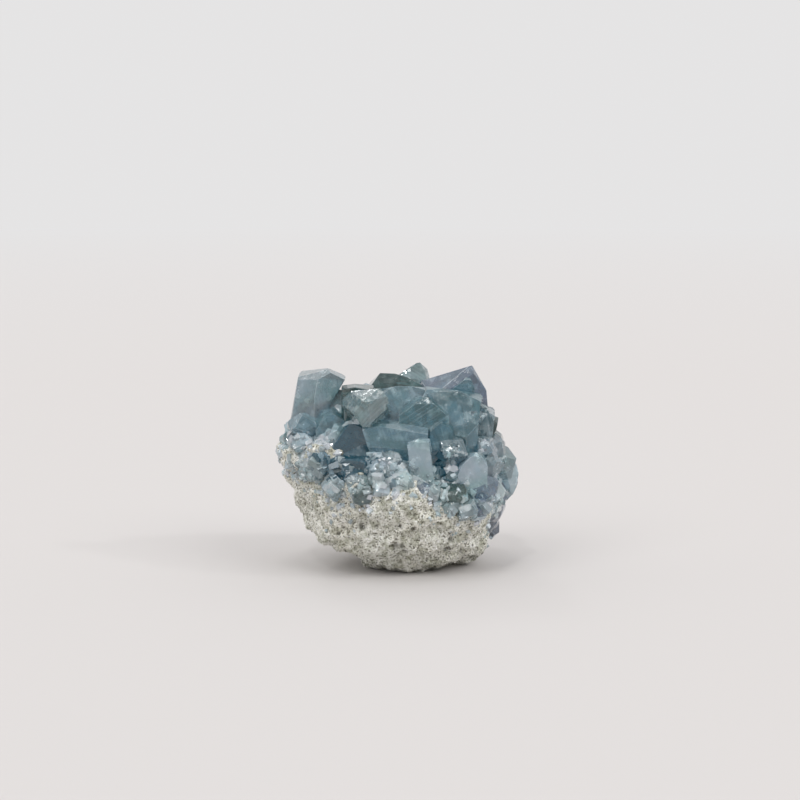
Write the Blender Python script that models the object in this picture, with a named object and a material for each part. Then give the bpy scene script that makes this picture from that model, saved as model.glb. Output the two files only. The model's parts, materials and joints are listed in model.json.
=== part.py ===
"""Rough celestite: a crust of blue crystals grown together on a lump of sandy limestone.

Two pieces. The matrix is the broken limestone, with a small flat spot that it rests on.
The celestite is one crust: every crystal in it overlaps its neighbours, over the top,
the front and down the right side of the matrix.

Sizes are in millimetres, and MM turns them into Blender's metres. +X is to the right,
+Y is away from the viewer and +Z is up. The origin is on the surface that the lump
stands on, under the middle of its bounding box.
"""

import math
import random
from collections import namedtuple

import bmesh
import bpy
from mathutils import Matrix, Vector, noise

MM = 0.001
RING_SIDES = 54
RING_SQUARENESS = 2.1
MATRIX_GAP = 0.4
SEED = 11

# The matrix, as rings from the flat spot up to the middle of its hidden top: the height,
# and how far each ring reaches to the left, right, front and back of the centre line.
Ring = namedtuple("Ring", "z left right front back")
MATRIX_RINGS = (
    Ring(0.0, 7, 13, 3.5, 8),
    Ring(0.8, 9.5, 17, 7, 11),
    Ring(2.5, 9.5, 19.8, 11.4, 14),
    Ring(4.7, 13.2, 21, 15.3, 16.3),
    Ring(8, 22.8, 22.2, 18.2, 18.8),
    Ring(12, 23.9, 22.6, 19.2, 20.2),
    Ring(16, 25.4, 23.5, 19.9, 21.3),
    Ring(20, 28.2, 24, 19.6, 22),
    Ring(23, 30, 23.6, 18.4, 21.5),
    Ring(25.3, 29.8, 22, 16.6, 19.5),
    Ring(27, 25, 17, 13.5, 15),
    Ring(28, 14, 9, 8, 8),
    Ring(28.4, 0, 0, 0, 0),
)
MATRIX_ROWS = 22
TILT_HEIGHT = 20
MATRIX_TILT = -0.2

# The massive celestite under the crystals, which the matrix then cuts from below.
CRUST_RINGS = (
    Ring(12, 0, 0, 0, 0),
    Ring(14, 16, 17, 11, 13),
    Ring(17, 21, 23, 18.4, 20),
    Ring(20, 24, 25, 20.2, 22.6),
    Ring(24, 27.4, 25, 19.8, 22.2),
    Ring(28, 26, 23.5, 16.2, 20.5),
    Ring(32, 23, 22, 12.8, 18),
    Ring(36, 19, 19, 9.5, 14),
    Ring(39.5, 12, 14, 5, 8),
    Ring(40.5, 0, 0, 0, 0),
)
CRUST_ROWS = 16
CRUST_TILT = -0.2

# A crystal is a prism that ends at its tip. sides is how far its faces lie to the right,
# back, left and front of the tip's axis, and trim cuts the corners between them. roof
# holds its end faces: the side that each one faces, its slope, and how far from the axis
# it comes down to the tip's height.
Crystal = namedtuple("Crystal", "name tip axis sides roof length roll taper trim")
RIGHT, BACK, LEFT, FRONT = 0, 90, 180, 270


def crystal(name, tip, axis, sides, roof, length=22, roll=0, taper=3, trim=0.85):
    return Crystal(name, tip, axis, sides, roof, length, roll, taper, trim)


def gable(slope, hip, ridge=0.8):
    """A short ridge: faces to the right and left meet in it, and a hip closes each end."""
    return (
        (RIGHT, slope, 0),
        (LEFT, slope * 0.9, 0),
        (FRONT, hip, ridge),
        (BACK, hip, ridge * 0.6),
    )


SKYLINE = (
    crystal("left_block", (-17.6, -5.2, 49.8), (0.17, -0.1, 1), (4.6, 8, 6.8, 2.6),
            ((RIGHT, 22, 0), (LEFT, 25, 0), (BACK, 30, 2), (RIGHT, 112, 5.35),
             (FRONT + 24, 86, 1.2), (FRONT - 24, 86, 2.8)), 26, 0, 1, 0.88),
    crystal("left_block_foot", (-15.3, -3.6, 45.2), (0.04, -0.2, 1), (2.3, 4, 3, 2.4),
            ((RIGHT, 38, 0), (LEFT, 30, 0), (FRONT, 62, 0), (BACK, 30, 0)), 18, 0, 2, 0.92),
    crystal("clear_nub", (-8.2, -16.6, 43.4), (-0.05, -0.9, 0.4), (5.1, 4.1, 5.9, 4.9),
            ((40, 26, 0), (112, 46, 0.4), (172, 52, 0.6), (252, 40, 0), (325, 38, 0),
             (221, 86, 3.6), (318, 86, 3.7)),
            17, 0, 2, 0.79),
    crystal("behind_nub", (-11, -5.5, 46.2), (-0.05, -0.1, 1), (4.6, 5, 3.2, 3),
            ((RIGHT, 12, 0), (LEFT, 8, 0), (BACK, 30, 1)), 20, 0, 3, 0.9),
    crystal("green_ridge", (-2.2, 1, 47.9), (0.02, -0.05, 1), (8, 6, 5.6, 2.5),
            ((RIGHT, 25, 2.8), (LEFT, 52, 2.8), (FRONT, 60, 0), (BACK, 40, 1)), 22, 0, 5),
    crystal("little_peak", (4.8, 9, 50.2), (0.05, 0.1, 1), (2.6, 3, 5.5, 2.4),
            ((RIGHT, 39, 0), (LEFT, 36, 0), (FRONT, 62, 0.3), (BACK, 50, 0), (RIGHT, 72, 1.7)),
            20, 0, 4),
    crystal("right_peak", (18.1, -1.2, 50.1), (0.02, -0.1, 1), (2.5, 7, 11, 1.4),
            ((RIGHT - 15, 60, 0), (214, 33, 0), (BACK, 40, 1)), 26, 22, 5, 1),
    crystal("peak_wedge", (17.1, -4.5, 48.2), (0.08, -0.15, 1), (1.4, 4, 4.6, 1),
            ((RIGHT, 62, 0), (LEFT, 41, 0), (FRONT, 78, 0), (BACK, 20, 0)), 16, 0, 3, 1),
)
MIDDLE = (
    crystal("middle_upper", (1.5, -4.2, 45.6), (0, -0.2, 1), (7.5, 5, 6.4, 7.5),
            ((RIGHT, 12, 1.5), (LEFT, 22, 2.5), (FRONT, 50, 0), (BACK, 30, 0)), 20, 0, 3),
    crystal("middle_arrow", (6.3, -10.6, 43.9), (0.02, -0.2, 1), (5.6, 5, 6.2, 3.4),
            ((RIGHT, 38, 0), (LEFT, 34, 0), (FRONT, 66, 0), (BACK, 20, 0)), 20, 0, 2, 0.97),
    crystal("middle_right", (12.6, -7.2, 45.2), (0.08, -0.22, 1), (7.5, 5, 6.5, 7),
            ((RIGHT, 15, 1.5), (LEFT, 10, 1), (FRONT, 50, 0), (BACK, 20, 0)), 22, -8, 3),
    crystal("middle_lower", (-1.5, -13.6, 37.4), (0.06, -0.35, 0.95), (8.5, 4, 9, 4.2),
            ((RIGHT, 5, 0), (LEFT, 10, 3), (FRONT, 52, 0.8), (BACK, 10, 0), (LEFT, 116, 7.9)),
            17, 0, -2, 0.95),
    crystal("middle_diamond", (10.3, -14.4, 38.4), (0.03, -0.25, 1), (2.6, 4, 2.8, 2.6),
            ((RIGHT, 40, 0), (LEFT, 40, 0), (FRONT, 68, 0), (BACK, 20, 0)), 16, 0, 2, 0.97),
    crystal("dark_wedge", (-11, -13.4, 37.6), (0.02, -0.22, 1), (9, 4, 6, 3.2),
            ((RIGHT, 30, 2.4), (LEFT, 56, 1.4), (FRONT, 76, 0.4), (BACK, 30, 0)), 18, 0, 1, 1),
    crystal("under_left_block", (-17.5, -9.2, 40), (-0.1, -0.5, 0.85), (3.4, 4, 3.6, 3.6),
            ((RIGHT, 40, 0), (LEFT, 44, 0), (FRONT, 60, 0), (BACK, 25, 0)), 18, 8),
    crystal("left_front", (-24, -8.2, 39.4), (-0.2, -0.45, 0.85), (3.2, 4, 3.6, 3),
            gable(38, 50), 18, 10),
)
FRONT_ROW = (
    crystal("low_left", (-19.6, -17, 29.6), (-0.2, -0.8, 0.6), (2.7, 2.8, 2.3, 2.6),
            ((RIGHT, 34, 0), (LEFT, 44, 0), (FRONT, 48, 0), (BACK, 26, 0)), 12, 8, 3, 0.9),
    crystal("low_middle_left", (-11.8, -18.2, 29.9), (-0.05, -0.55, 0.85), (4.6, 3, 4.8, 2.6),
            ((RIGHT, 20, 1), (LEFT, 24, 1), (FRONT, 72, 0.3), (BACK, 26, 0)), 13, -4, 3, 0.92),
    crystal("pale_prism", (4.4, -18.6, 34.8), (-0.12, -0.16, 1), (2.6, 2.8, 2.8, 1),
            ((RIGHT, 16, 0), (LEFT, 24, 0), (BACK, 25, 0.5)), 12, -8, 1, 0.93),
    crystal("low_behind_prism", (9.2, -16.8, 32.6), (0.15, -0.4, 0.9), (2, 2, 1.8, 1.4),
            gable(44, 60, 0.2), 9, 20),
    crystal("dark_hollow_left", (9.4, -17, 28.4), (0.2, -0.75, 0.6), (2.4, 3, 2.6, 2.8),
            gable(50, 40, 0.2), 12, 25),
    crystal("sparkling_slab", (13, -15.6, 33.6), (0.16, -0.66, 0.72), (2.8, 3.4, 3, 3.6),
            gable(16, 24, 1.4), 14, 22, 2, 0.95),
    crystal("dark_hollow_right", (13.6, -17.4, 27.3), (0.1, -0.85, 0.4), (2.2, 2.4, 2.2, 2.6),
            gable(40, 42, 0.2), 12, -28),
    crystal("tall_pale_face", (17.9, -15.8, 31.7), (0.12, -0.26, 0.95), (3.2, 4, 3.2, 1.4),
            ((RIGHT, 42, 0), (LEFT, 52, 0), (BACK, 30, 0)), 13, 6, 6, 0.95),
    crystal("green_chips", (12.8, -19.6, 22.6), (0.15, -0.85, 0.45), (3.4, 2.2, 3, 2.2),
            gable(24, 36, 0.8), 10, -8),
)
RIGHT_SIDE = (
    crystal("right_shoulder", (19.4, -6.8, 41.6), (0.16, -0.25, 1), (4.1, 4.6, 5.4, 3.8),
            ((RIGHT, 20, 1), (LEFT, 10, 1), (FRONT, 50, 0.8), (BACK, 26, 0), (FRONT + 45, 42, 2)),
            18, 0, 3, 0.84),
    crystal("right_step", (22.8, -3.2, 38.1), (0.3, -0.15, 0.95), (1.7, 3.6, 3.2, 2.6),
            ((RIGHT, 15, 0.6), (LEFT, 20, 0), (FRONT, 55, 0.6), (BACK, 36, 1)), 16, 0, 3),
    crystal("diamond", (21.6, -11.4, 32.6), (0.4, -0.85, 0.4), (2.1, 2.3, 2.1, 2.3),
            gable(36, 36, 0), 12, 45),
    crystal("blue_block", (23.4, -11.6, 27.6), (0.42, -0.85, 0.3), (2.6, 3, 2.6, 3),
            gable(26, 34, 0.6), 13, 12, 2, 0.95),
    crystal("right_corner", (25.6, -5, 32.6), (0.7, -0.4, 0.6), (3, 3.4, 3, 3.4),
            gable(36, 40, 0.4), 16, 25),
    crystal("right_low_face", (20.8, -15.8, 22.6), (0.3, -0.9, 0.2), (3.6, 3, 3.4, 3),
            gable(28, 34, 0.6), 13, -20),
    crystal("right_edge_upper", (28.8, -3.5, 27.4), (0.9, -0.3, 0.3), (3.6, 3.8, 3.6, 3.8),
            gable(33, 37, 0.5), 16, 15),
    crystal("right_edge_middle", (30.4, -1, 22.8), (0.95, -0.15, 0.05), (3.6, 4, 3.8, 4),
            gable(38, 36, 0.4), 16, 35),
    crystal("right_edge_lower", (27.6, -3, 18.6), (0.85, -0.35, -0.1), (3.6, 3.8, 3.8, 3.8),
            gable(30, 38, 0.4), 15, 5),
    crystal("right_skirt", (26.8, 2, 13.4), (0.9, 0, -0.25), (3.2, 3.6, 3.2, 3.6),
            gable(34, 36, 0.3), 13, 25),
    crystal("right_hem", (24.8, 1.6, 9.4), (0.8, -0.15, -0.35), (2.6, 3.4, 2.6, 3.4),
            gable(30, 34, 0.5), 11, 8),
    crystal("right_hem_tip", (25.2, 4.2, 7.4), (0.85, 0.1, -0.4), (1.8, 2, 1.8, 2),
            gable(36, 36, 0.2), 9, 35),
    crystal("right_skirt_back", (25.8, 8.4, 15.6), (0.9, 0.3, -0.1), (3.2, 3.4, 3.2, 3.4),
            gable(36, 32, 0.4), 12, -20),
    crystal("right_hem_back", (24.6, 7.6, 10.6), (0.85, 0.3, -0.3), (2.4, 2.8, 2.4, 2.8),
            gable(34, 36, 0.3), 10, 15),
    crystal("right_skirt_front", (25.2, -4.4, 13.6), (0.85, -0.35, -0.2), (2.2, 2.4, 2.2, 2.4),
            gable(34, 34, 0.2), 10, -12),
)
PALE_EDGE = (
    crystal("eye", (-9.1, -21.4, 21.9), (-0.08, -0.96, 0.25), (2.3, 2.3, 2.3, 2.3),
            gable(7, 9, 0.2), 9, 22, 3, 0.76),
    crystal("eye_hood", (-9.9, -20.3, 25.3), (-0.05, -0.85, 0.5), (2.9, 1.7, 2.8, 1.7),
            gable(20, 34, 0.3), 9, -12, 3, 0.86),
    crystal("pale_left", (-16.1, -19.6, 24.2), (-0.2, -0.85, 0.5), (2.2, 2.2, 2.3, 1.9),
            gable(14, 20, 0.4), 10, 24, 3, 0.9),
    crystal("pale_middle", (-4.6, -20.6, 21.8), (-0.05, -0.9, 0.4), (2.5, 1.7, 2.2, 1.5),
            gable(14, 20, 0.4), 9, -9, 3, 0.92),
    crystal("violet_chip", (5.7, -20.2, 23.4), (0.05, -0.85, 0.5), (1.7, 1.6, 2.1, 1.3),
            gable(22, 28, 0.2), 9, -22, 3, 1),
    crystal("grey_chip_left", (12.8, -20.3, 18.8), (0.15, -0.9, 0.35), (1.7, 1.9, 1.9, 1.5),
            gable(34, 38, 0.2), 9, 35, 3, 1),
    crystal("grey_chip_middle", (16.6, -19.6, 18.4), (0.2, -0.85, 0.4), (2.3, 2, 2.1, 1.8),
            gable(30, 38, 0.2), 9, 14, 3, 1),
    crystal("grey_chip_right", (20.2, -17.2, 18.6), (0.4, -0.8, 0.35), (2.2, 2, 2, 2),
            gable(32, 36, 0.2), 9, -25, 3, 1),
)
LEFT_SIDE = (
    crystal("left_shoulder", (-27.4, -5, 35.2), (-0.6, -0.4, 0.65), (3, 3, 2.8, 3),
            gable(38, 40, 0.4), 14, 20),
    crystal("left_knob", (-30, -2, 32.6), (-0.85, -0.1, 0.4), (2, 2.2, 2, 2.2),
            gable(36, 36, 0.3), 11, 40),
    crystal("left_violet", (-25.2, -10.4, 34.2), (-0.4, -0.75, 0.5), (2.6, 2.4, 2.6, 2.4),
            gable(30, 36, 0.3), 12, 10),
)
BACK_SIDE = (
    crystal("back_left_top", (-19.5, 9.5, 42.5), (-0.3, 0.45, 0.9), (5.5, 5, 5.5, 5),
            gable(36, 40), 22, 10),
    crystal("back_middle_top", (-8.5, 11.5, 42.8), (-0.1, 0.5, 0.9), (5, 5, 5, 5),
            gable(32, 42), 22, -20),
    crystal("back_crown", (11.5, 12, 43.2), (0.2, 0.5, 0.85), (5.5, 5, 5, 5.5),
            gable(38, 36), 22, 25),
    crystal("back_right_top", (20.5, 8.5, 41.4), (0.5, 0.35, 0.8), (4.6, 5, 4.8, 5),
            gable(35, 40), 20, -10),
    crystal("back_middle", (1.5, 17.5, 39.5), (0.05, 0.8, 0.6), (6, 5.5, 6, 5.5),
            gable(30, 34), 20, 15),
    crystal("back_left_face", (-14.5, 18, 35.5), (-0.3, 0.85, 0.5), (5, 4.8, 5, 4.8),
            gable(34, 36), 19, 30),
    crystal("back_right_face", (15, 17.5, 35.8), (0.35, 0.8, 0.5), (5, 4.8, 5, 4.8),
            gable(33, 38), 19, -25),
    crystal("back_left_edge", (-25.5, 10, 34.5), (-0.75, 0.4, 0.5), (4.2, 4, 4.2, 4),
            gable(34, 38), 17, 10),
    crystal("back_right_edge", (25.8, 10, 31.5), (0.8, 0.4, 0.4), (4.4, 4.2, 4.4, 4.2),
            gable(33, 36), 17, 30),
    crystal("back_low_middle", (-3.5, 22.2, 29.5), (-0.05, 0.95, 0.25), (4.4, 4, 4.4, 4),
            gable(30, 34, 0.4), 14, 40),
    crystal("back_low_right", (10.5, 21.8, 27.6), (0.2, 0.93, 0.2), (4, 3.8, 4, 3.8),
            gable(32, 34, 0.4), 14, 5),
    crystal("back_low_left", (-19.5, 18.2, 28), (-0.45, 0.8, 0.25), (3.8, 3.6, 3.8, 3.6),
            gable(33, 36, 0.4), 13, -15),
    crystal("back_low_edge", (21.5, 17.2, 24), (0.65, 0.7, 0.1), (3.8, 3.6, 3.8, 3.6),
            gable(32, 36, 0.4), 13, 20),
)
MAIN_CRYSTALS = (
    *SKYLINE, *MIDDLE, *FRONT_ROW, *RIGHT_SIDE, *PALE_EDGE, *LEFT_SIDE, *BACK_SIDE
)

# Small crystals fill the crust between the main ones, the widest first. Each keeps apart
# from the others by SMALL_SPACING of its width, out of the main crystals' faces by
# SMALL_CLEARANCE, and away from a main crystal's tip by MAIN_ROOM of its narrowest side.
SMALL_WIDTHS = (5, 4.2, 3.6, 3, 2.6, 2.2)
SMALL_TRIES = 500
SMALL_LIMIT = 138
SMALL_SPACING = 0.62
SMALL_CLEARANCE = 0.9
MAIN_ROOM = 0.45
SMALL_LENGTH = 7
SMALL_BAND = (0.38, 0.95)

# Places that no small crystal covers: a point and how far round it is kept bare.
BARE_PLACES = (
    ((-12, -17, 33), 5),
    ((-18, -14.5, 32), 4),
    ((17.5, -19, 27), 4),
    ((3.5, -20.5, 20.5), 3.8),
    ((9.5, -20.5, 19), 2.6),
    ((-9, -21, 18.5), 2.6),
    ((-32.5, -4, 30), 3.5),
    ((32, -1, 21), 3),
)

# Broken rock: lumps, knobs and grains, as the size of each and how far it stands out.
LUMPS = ((13, 1.6), (5.5, 1.1), (3, 0.6))
CRUST_LUMPS = ((6, 1.2), (3, 0.9))

# Ledges in the matrix, where a layer above overhangs the rock below it: the height of the
# edge, how deep it is cut in, how far down the cut fades out, and the side it faces.
Ledge = namedtuple("Ledge", "z depth fade side spread")
LEDGES = (
    Ledge(6.4, 1.3, 4.5, 292, 50),
    Ledge(12.4, 1.0, 4, 225, 40),
    Ledge(15.5, 0.9, 4, 130, 45),
    Ledge(8.5, 1.2, 5, 60, 50),
    Ledge(10.5, 0.9, 4, 175, 35),
)
LEDGE_WAVE = 1.2

# Pits in the matrix: a point on its surface, the pit's radius and its depth. A knob, where
# the matrix comes up between the crystals, is a pit of negative depth.
Pit = namedtuple("Pit", "place radius depth")
PITS = (
    Pit((-9.3, -20, 14.8), 2.2, 2.2),
    Pit((-24.2, -13, 22.5), 2.2, 1.6),
    Pit((-22.6, -14, 12.5), 3, 1.6),
    Pit((9.6, -19.8, 12.6), 2, 1.6),
    Pit((19.4, -14, 7.6), 2.2, 1.7),
    Pit((-1, -17.5, 8.2), 2.4, 1.1),
    Pit((12, -14.5, 3.8), 3, 1.2),
    Pit((-8, 21, 15), 2.8, 1.8),
    Pit((13, 19.5, 11), 2.4, 1.7),
    Pit((-26, 6, 14), 2.4, 1.6),
    Pit((3, 19, 7), 2.4, 1.3),
    Pit((22, 9, 6), 2.4, 1.3),
    Pit((-18, -12.4, 31.5), 4.2, -6.5),
    Pit((22, -13, 17), 2.6, -1.8),
    Pit((4.5, -19, 21.5), 4, -2.2),
)


def clear_scene():
    for old in list(bpy.data.objects):
        bpy.data.objects.remove(old, do_unlink=True)


def material(name, colour, roughness, transmission=0.0):
    made = bpy.data.materials.new(name)
    made.use_nodes = True
    shader = made.node_tree.nodes["Principled BSDF"]
    shader.inputs["Base Color"].default_value = (*colour, 1)
    shader.inputs["Roughness"].default_value = roughness
    shader.inputs["Metallic"].default_value = 0
    shader.inputs["Transmission Weight"].default_value = transmission
    return made


def object_from(bm, name, finish=None):
    mesh = bpy.data.meshes.new(name)
    bm.to_mesh(mesh)
    bm.free()
    made = bpy.data.objects.new(name, mesh)
    bpy.context.scene.collection.objects.link(made)
    if finish:
        mesh.materials.append(finish)
    return made


def hide_helper(helper):
    helper.hide_render = True
    helper.display_type = "WIRE"
    return helper


def blended_ring(rings, share):
    """The ring at a share of the way from the first to the last, on a smooth curve."""
    place = share * (len(rings) - 1)
    first = min(int(place), len(rings) - 2)
    t = place - first
    before, start = rings[max(first - 1, 0)], rings[first]
    end, after = rings[first + 1], rings[min(first + 2, len(rings) - 1)]

    def smooth(p0, p1, p2, p3):
        bend = 2 * p0 - 5 * p1 + 4 * p2 - p3
        return 0.5 * (2 * p1 + (p2 - p0) * t + bend * t**2 + (3 * (p1 - p2) + p3 - p0) * t**3)

    return Ring(*(max(smooth(*values), 0) for values in zip(before, start, end, after)))


def ring_point(ring, angle, tilt):
    """A point of a ring. tilt raises the ring to one side, more so higher up."""
    along, across = math.cos(angle), math.sin(angle)
    reach_x = ring.right if along > 0 else ring.left
    reach_y = ring.back if across > 0 else ring.front
    x = reach_x * math.copysign(abs(along) ** (2 / RING_SQUARENESS), along)
    y = reach_y * math.copysign(abs(across) ** (2 / RING_SQUARENESS), across)
    raised = tilt * x * min(ring.z / TILT_HEIGHT, 1) ** 2
    return Vector((x, y, ring.z + raised))


def lofted(rings, rows, tilt, pole_below, pole_above):
    """A closed body through the rings, with a pole where it begins or ends in a point."""
    bm = bmesh.new()
    shares = [row / rows for row in range(rows + 1)]
    loops = []
    for share in shares[1 if pole_below else 0 : -1 if pole_above else None]:
        ring = blended_ring(rings, share)
        angles = [2 * math.pi * (side + 0.5) / RING_SIDES for side in range(RING_SIDES)]
        loops.append([bm.verts.new(ring_point(ring, angle, tilt)) for angle in angles])
    for lower, upper in zip(loops, loops[1:]):
        for side in range(RING_SIDES):
            after = (side + 1) % RING_SIDES
            bm.faces.new((lower[side], lower[after], upper[after], upper[side]))
    for loop, ring, is_pole in ((loops[0], rings[0], pole_below), (loops[-1], rings[-1], pole_above)):
        if is_pole:
            pole = bm.verts.new((0, 0, ring.z))
            for side in range(RING_SIDES):
                bm.faces.new((loop[side], loop[(side + 1) % RING_SIDES], pole))
        else:
            bm.faces.new(loop)
    bmesh.ops.recalc_face_normals(bm, faces=bm.faces)
    return bm


def roughen(bm, lumps, seed, floor=None):
    """Moves each point along its normal by smooth noise, one layer for each size of lump."""
    bm.normal_update()
    moves = []
    for vert in bm.verts:
        move = 0
        for layer, (size, height) in enumerate(lumps):
            offset = Vector((seed * 7.3, layer * 17.1, seed * 3.9))
            move += height * noise.noise(vert.co / size + offset)
        moves.append(vert.normal * move)
    for vert, move in zip(bm.verts, moves):
        if floor is None or vert.co.z > floor:
            vert.co += move


def sink_pits(bm):
    centre = Vector((0, 0, 16))
    for pit in PITS:
        place = Vector(pit.place)
        inwards = (centre - place).normalized()
        for vert in bm.verts:
            share = (vert.co - place).length / (pit.radius * 1.6)
            if share < 1:
                vert.co += inwards * pit.depth * (1 - share * share) ** 2


def cut_ledges(bm):
    for vert in bm.verts:
        side = math.degrees(math.atan2(vert.co.y, vert.co.x)) % 360
        inwards = -Vector((vert.co.x, vert.co.y, 0)).normalized()
        wave = LEDGE_WAVE * noise.noise(vert.co / 4)
        move = 0
        for ledge in LEDGES:
            below = ledge.z + wave - vert.co.z
            turn = abs((side - ledge.side + 180) % 360 - 180) / ledge.spread
            if 0 < below < ledge.fade and turn < 1:
                move += ledge.depth * (1 - below / ledge.fade) * (1 - turn * turn)
        vert.co += inwards * move


def matrix_body():
    bm = lofted(MATRIX_RINGS, MATRIX_ROWS, MATRIX_TILT, False, True)
    roughen(bm, LUMPS, SEED, floor=0.01)
    cut_ledges(bm)
    sink_pits(bm)
    for vert in bm.verts:
        vert.co.z = max(vert.co.z, 0)
    bmesh.ops.triangulate(bm, faces=bm.faces)
    return bm


def growth_frame(axis, roll):
    """Axes of a crystal: its growth direction, and its width level with the ground."""
    up = Vector(axis).normalized()
    across = Vector((0, 1, 0)).cross(up)
    if across.length < 0.5:
        across = Vector((0, 0, 1)).cross(up) * (-1 if up.y > 0 else 1)
    across.normalize()
    frame = Matrix((across, up.cross(across), up)).transposed()
    return frame @ Matrix.Rotation(math.radians(roll), 3, "Z")


def crystal_planes(shape):
    """The crystal's faces as (point, outward normal), in millimetres."""
    frame = growth_frame(shape.axis, shape.roll)
    tip = Vector(shape.tip)
    lean = math.radians(shape.taper)
    planes = []

    def add(direction, point):
        planes.append((tip + frame @ Vector(point), frame @ Vector(direction)))

    corners = []
    for quarter, reach in enumerate(shape.sides):
        angle = math.radians(90 * quarter)
        out = Vector((math.cos(angle), math.sin(angle), 0))
        add(out * math.cos(lean) + Vector((0, 0, math.sin(lean))), out * reach)
        corners.append(math.hypot(reach, shape.sides[(quarter + 1) % 4]))
    for quarter, reach in enumerate(corners if shape.trim < 1 else ()):
        angle = math.atan2(shape.sides[(quarter + 1) % 4], shape.sides[quarter])
        if quarter % 2:
            angle = math.pi / 2 - angle
        angle += math.pi / 2 * quarter
        out = Vector((math.cos(angle), math.sin(angle), 0))
        add(out * math.cos(lean) + Vector((0, 0, math.sin(lean))), out * reach * shape.trim)
    for side, slope, setback in shape.roof:
        angle, rise = math.radians(side), math.radians(slope)
        aside = Vector((math.cos(angle), math.sin(angle), 0))
        out = aside * math.sin(rise)
        add(out + Vector((0, 0, math.cos(rise))), aside * setback)
    add((0, 0, -1), (0, 0, -shape.length))
    return planes


def cut_crystal(shape):
    """A block cut down to the space behind every face of the crystal."""
    bm = bmesh.new()
    reach = max(shape.length, *shape.sides)
    bmesh.ops.create_cube(bm, size=6 * reach, matrix=Matrix.Translation(shape.tip))
    for point, normal in crystal_planes(shape):
        everything = bm.verts[:] + bm.edges[:] + bm.faces[:]
        bmesh.ops.bisect_plane(
            bm, geom=everything, plane_co=point, plane_no=normal, dist=1e-4, clear_outer=True
        )
        open_edges = [edge for edge in bm.edges if edge.is_boundary]
        if open_edges:
            bmesh.ops.edgeloop_fill(bm, edges=open_edges)
    bmesh.ops.recalc_face_normals(bm, faces=bm.faces)
    return bm


def is_inside(point, planes, margin):
    return all((point - place).dot(normal) < margin for place, normal in planes)


def small_crystals():
    """Crystals scattered over the crust, each pointing out of it and a little aside."""
    dice = random.Random(SEED)
    main_planes = [crystal_planes(shape) for shape in MAIN_CRYSTALS]
    main_rooms = [(shape, min(shape.sides) * MAIN_ROOM) for shape in MAIN_CRYSTALS]
    made = []
    for width in (size for size in SMALL_WIDTHS for _ in range(SMALL_TRIES)):
        ring = blended_ring(CRUST_RINGS, dice.uniform(*SMALL_BAND))
        root = ring_point(ring, dice.uniform(0, 2 * math.pi), CRUST_TILT)
        outwards = (root - Vector((0, 0, 22))).normalized()
        axis = (outwards + Vector([dice.gauss(0, 0.3) for _ in range(3)])).normalized()
        tip = root + outwards * (0.4 + 0.22 * width) + axis * dice.uniform(0, 0.2) * width
        sides = [width / 2 * dice.uniform(0.75, 1.2) for _ in range(4)]
        slopes = [dice.uniform(16, 44) for _ in range(4)]
        roll = dice.uniform(0, 90)
        crowded = any(
            (tip - Vector(other.tip)).length < width * SMALL_SPACING + room
            for other, room in [(shape, 0) for shape in made] + main_rooms
        )
        hidden = any(is_inside(tip, planes, SMALL_CLEARANCE) for planes in main_planes)
        kept_bare = any((tip - Vector(place)).length < reach for place, reach in BARE_PLACES)
        if crowded or hidden or kept_bare or len(made) == SMALL_LIMIT:
            continue
        roof = tuple(zip((RIGHT, BACK, LEFT, FRONT), slopes, (0, 0, 0, 0)))
        name = f"small_{len(made)}"
        made.append(crystal(name, tip, axis, sides, roof, SMALL_LENGTH, roll, 3, 1))
    return made


def crust_body():
    bm = lofted(CRUST_RINGS, CRUST_ROWS, CRUST_TILT, True, True)
    roughen(bm, CRUST_LUMPS, SEED + 1)
    return bm


def all_crystals():
    joined = bmesh.new()
    for shape in (*MAIN_CRYSTALS, *small_crystals()):
        single = cut_crystal(shape)
        mesh = bpy.data.meshes.new(shape.name)
        single.to_mesh(mesh)
        single.free()
        joined.from_mesh(mesh)
        bpy.data.meshes.remove(mesh)
    return joined


def apply_boolean(target, other, operation, use_self=False):
    modifier = target.modifiers.new(operation.lower(), "BOOLEAN")
    modifier.operation = operation
    modifier.object = other
    modifier.use_self = use_self
    graph = bpy.context.evaluated_depsgraph_get()
    mesh = bpy.data.meshes.new_from_object(target.evaluated_get(graph))
    target.modifiers.clear()
    target.data = mesh


def keep_largest_body(target):
    """Drops crumbs that a Boolean left loose, and any pocket closed in by crystals."""
    bm = bmesh.new()
    bm.from_mesh(target.data)
    unseen = set(bm.verts)
    bodies = []
    while unseen:
        edge_of_search = [unseen.pop()]
        body = set(edge_of_search)
        while edge_of_search:
            vert = edge_of_search.pop()
            for edge in vert.link_edges:
                other = edge.other_vert(vert)
                if other in unseen:
                    unseen.remove(other)
                    body.add(other)
                    edge_of_search.append(other)
        bodies.append(body)
    bodies.sort(key=len)
    for body in bodies[:-1]:
        bmesh.ops.delete(bm, geom=list(body), context="VERTS")
    bm.to_mesh(target.data)
    bm.free()


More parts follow.
